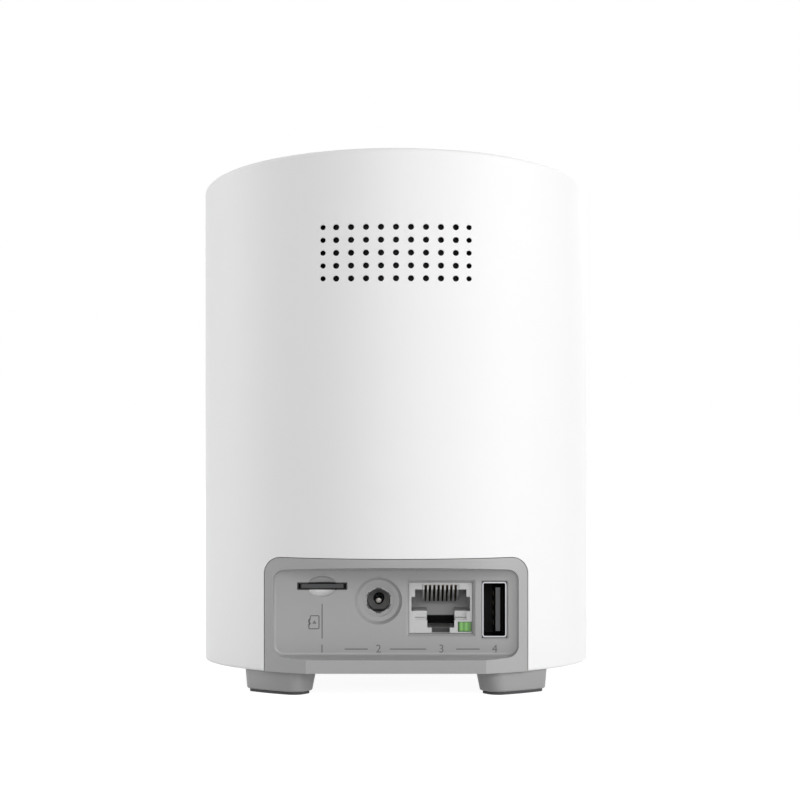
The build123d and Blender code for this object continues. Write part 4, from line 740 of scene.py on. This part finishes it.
def blackWire(look):
    # black-dyed woven wire: crossed threads in bump, satin
    material, tree, shader, place = startMaterial(
        "blackGauze", {"IOR": look["ior"], "Metallic": look["metal"],
                       "Base Color": toLinear(look["colour"])})
    upright = addNode(tree, "Mapping", {"Rotation": (math.pi / 2, 0, 0)}, {"Vector": place})
    weave = addNode(tree, "TexBrick", {"Scale": 1 / (look["mesh"] * mm), "offset": 0.0,
                                       "Mortar Size": look["mortar"], "Brick Width": 1.0,
                                       "Row Height": 1.0},
                    {"Vector": upright.outputs["Vector"]}).outputs["Fac"]
    linkShader(tree, shader, {"Roughness": rangeOf(tree, weave, *look["roughness"]),
                              "Normal": bumpOf(tree, weave, look)})
    return material


def wireGauze(look):
    # a patch of a cylinder: x and z run over a grid, y is the root of radius squared less x
    # squared
    x, z = np.meshgrid(np.linspace(-look["halfWidth"], look["halfWidth"], look["columns"]),
                       np.linspace(-look["halfHeight"], look["halfHeight"], look["rows"]),
                       indexing="ij")
    low, high = cornersOf("speaker_frame")
    points = np.stack([x, np.sqrt(look["radius"] ** 2 - x ** 2), z + (low[2] + high[2]) / 2], -1)
    piece = meshPiece("speakerGauze", points * mm, gridFaces(look["columns"], look["rows"]),
                      blackWire(look), "housing")
    wall = piece.modifiers.new("wall", "SOLIDIFY")
    wall.thickness, wall.offset = look["thickness"] * mm, 0.0


wireGauze(gauzeLook)
print("gauze done")


# Camera, floor and light

cameraLook = {"place": (-0.00093, 0.7143, 0.0697), "lens": 128.76, "sensor": 36.0, "near": 0.01,
              "far": 20.0}


def makeCamera():
    data = bpy.data.cameras.new("viewCamera")
    data.lens, data.sensor_width = cameraLook["lens"], cameraLook["sensor"]
    data.clip_start, data.clip_end = cameraLook["near"], cameraLook["far"]
    camera = bpy.data.objects.new("viewCamera", data)
    camera.location = cameraLook["place"]
    camera.rotation_euler = (math.pi / 2, 0, math.pi)
    bpy.context.scene.collection.objects.link(camera)
    bpy.context.scene.camera = camera


def straightRays(tree):
    # 1 for camera, glossy and transmission rays and 0 for the rest
    path = addNode(tree, "LightPath")
    seen = addNode(tree, "Math", {"operation": "MAXIMUM"},
                   {0: path.outputs["Is Camera Ray"], 1: path.outputs["Is Glossy Ray"]})
    seen = addNode(tree, "Math", {"operation": "MAXIMUM"},
                   {0: seen.outputs[0], 1: path.outputs["Is Transmission Ray"]})
    return seen.outputs[0]


floorLook = {"half": 6.0, "colour": "f4f4f4", "roughness": 0.9, "white": 0.7, "strength": 1.33}


def makeFloor():
    # pale paper sweep: seen straight on it is white, and it keeps the soft contact shadow
    half = floorLook["half"]
    mesh = bpy.data.meshes.new("studioFloor")
    mesh.from_pydata([(-half, -half, 0), (half, -half, 0), (half, half, 0), (-half, half, 0)], [],
                     [(0, 1, 2, 3)])
    floor = bpy.data.objects.new("studioFloor", mesh)
    bpy.context.scene.collection.objects.link(floor)
    material, tree, shader, place = startMaterial(
        "paperSweep", {"Roughness": floorLook["roughness"],
                       "Base Color": toLinear(floorLook["colour"])})
    share = addNode(tree, "Math", {"operation": "MULTIPLY", 1: floorLook["white"]},
                    {0: straightRays(tree)})
    white = addNode(tree, "Emission", {"Strength": floorLook["strength"]})
    both = addNode(tree, "MixShader", {}, {0: share.outputs[0], 1: shader.outputs[0],
                                           2: white.outputs[0]})
    tree.links.new(both.outputs[0], tree.nodes["Material Output"].inputs["Surface"])
    mesh.materials.append(material)


worldLook = {"ambient": 0.31}


def makeWorld():
    # white behind the object, and a plain dimmer ambient light for everything else
    world = bpy.data.worlds.new("studioWorld")
    bpy.context.scene.world = world
    world.use_nodes = True
    tree = world.node_tree
    output = tree.nodes["World Output"]
    dim = addNode(tree, "Background", {"Strength": worldLook["ambient"], "Color": (1, 1, 1, 1)})
    white = addNode(tree, "Background", {"Strength": 1.0, "Color": (1, 1, 1, 1)})
    both = addNode(tree, "MixShader", {}, {0: straightRays(tree), 1: dim.outputs[0],
                                           2: white.outputs[0]})
    tree.links.new(both.outputs[0], output.inputs["Surface"])


lampLook = {
    "keyLamp": {"place": (-1.0, 0.5, 0.35), "size": (0.65, 0.75), "watts": 6.1},
    "frontLamp": {"place": (-0.2, 1.3, 0.5), "size": (0.9, 0.6), "watts": 5.4},
    "sideLamp": {"place": (1.0, -0.35, 0.35), "size": (0.4, 0.9), "watts": 4.6},
    "backLamp": {"place": (-0.4, -1.3, 0.5), "size": (0.9, 0.6), "watts": 9.1},
    "topLamp": {"place": (0.0, -0.2, 1.3), "size": (1.0, 1.0), "watts": 2.2},
}
lampAim = (0, 0, 0.065)


def makeLamps():
    for name, look in lampLook.items():
        data = bpy.data.lights.new(name, "AREA")
        data.shape, data.energy = "RECTANGLE", look["watts"]
        data.size, data.size_y = look["size"]
        lamp = bpy.data.objects.new(name, data)
        lamp.location = look["place"]
        aim = np.array(lampAim) - np.array(look["place"])
        lamp.rotation_euler = Vector(aim).to_track_quat("-Z", "Y").to_euler()
        bpy.context.scene.collection.objects.link(lamp)


makeCamera()
makeFloor()
makeWorld()
makeLamps()
bpy.context.scene.view_settings.view_transform = "Standard"
print("camera, floor and light done")
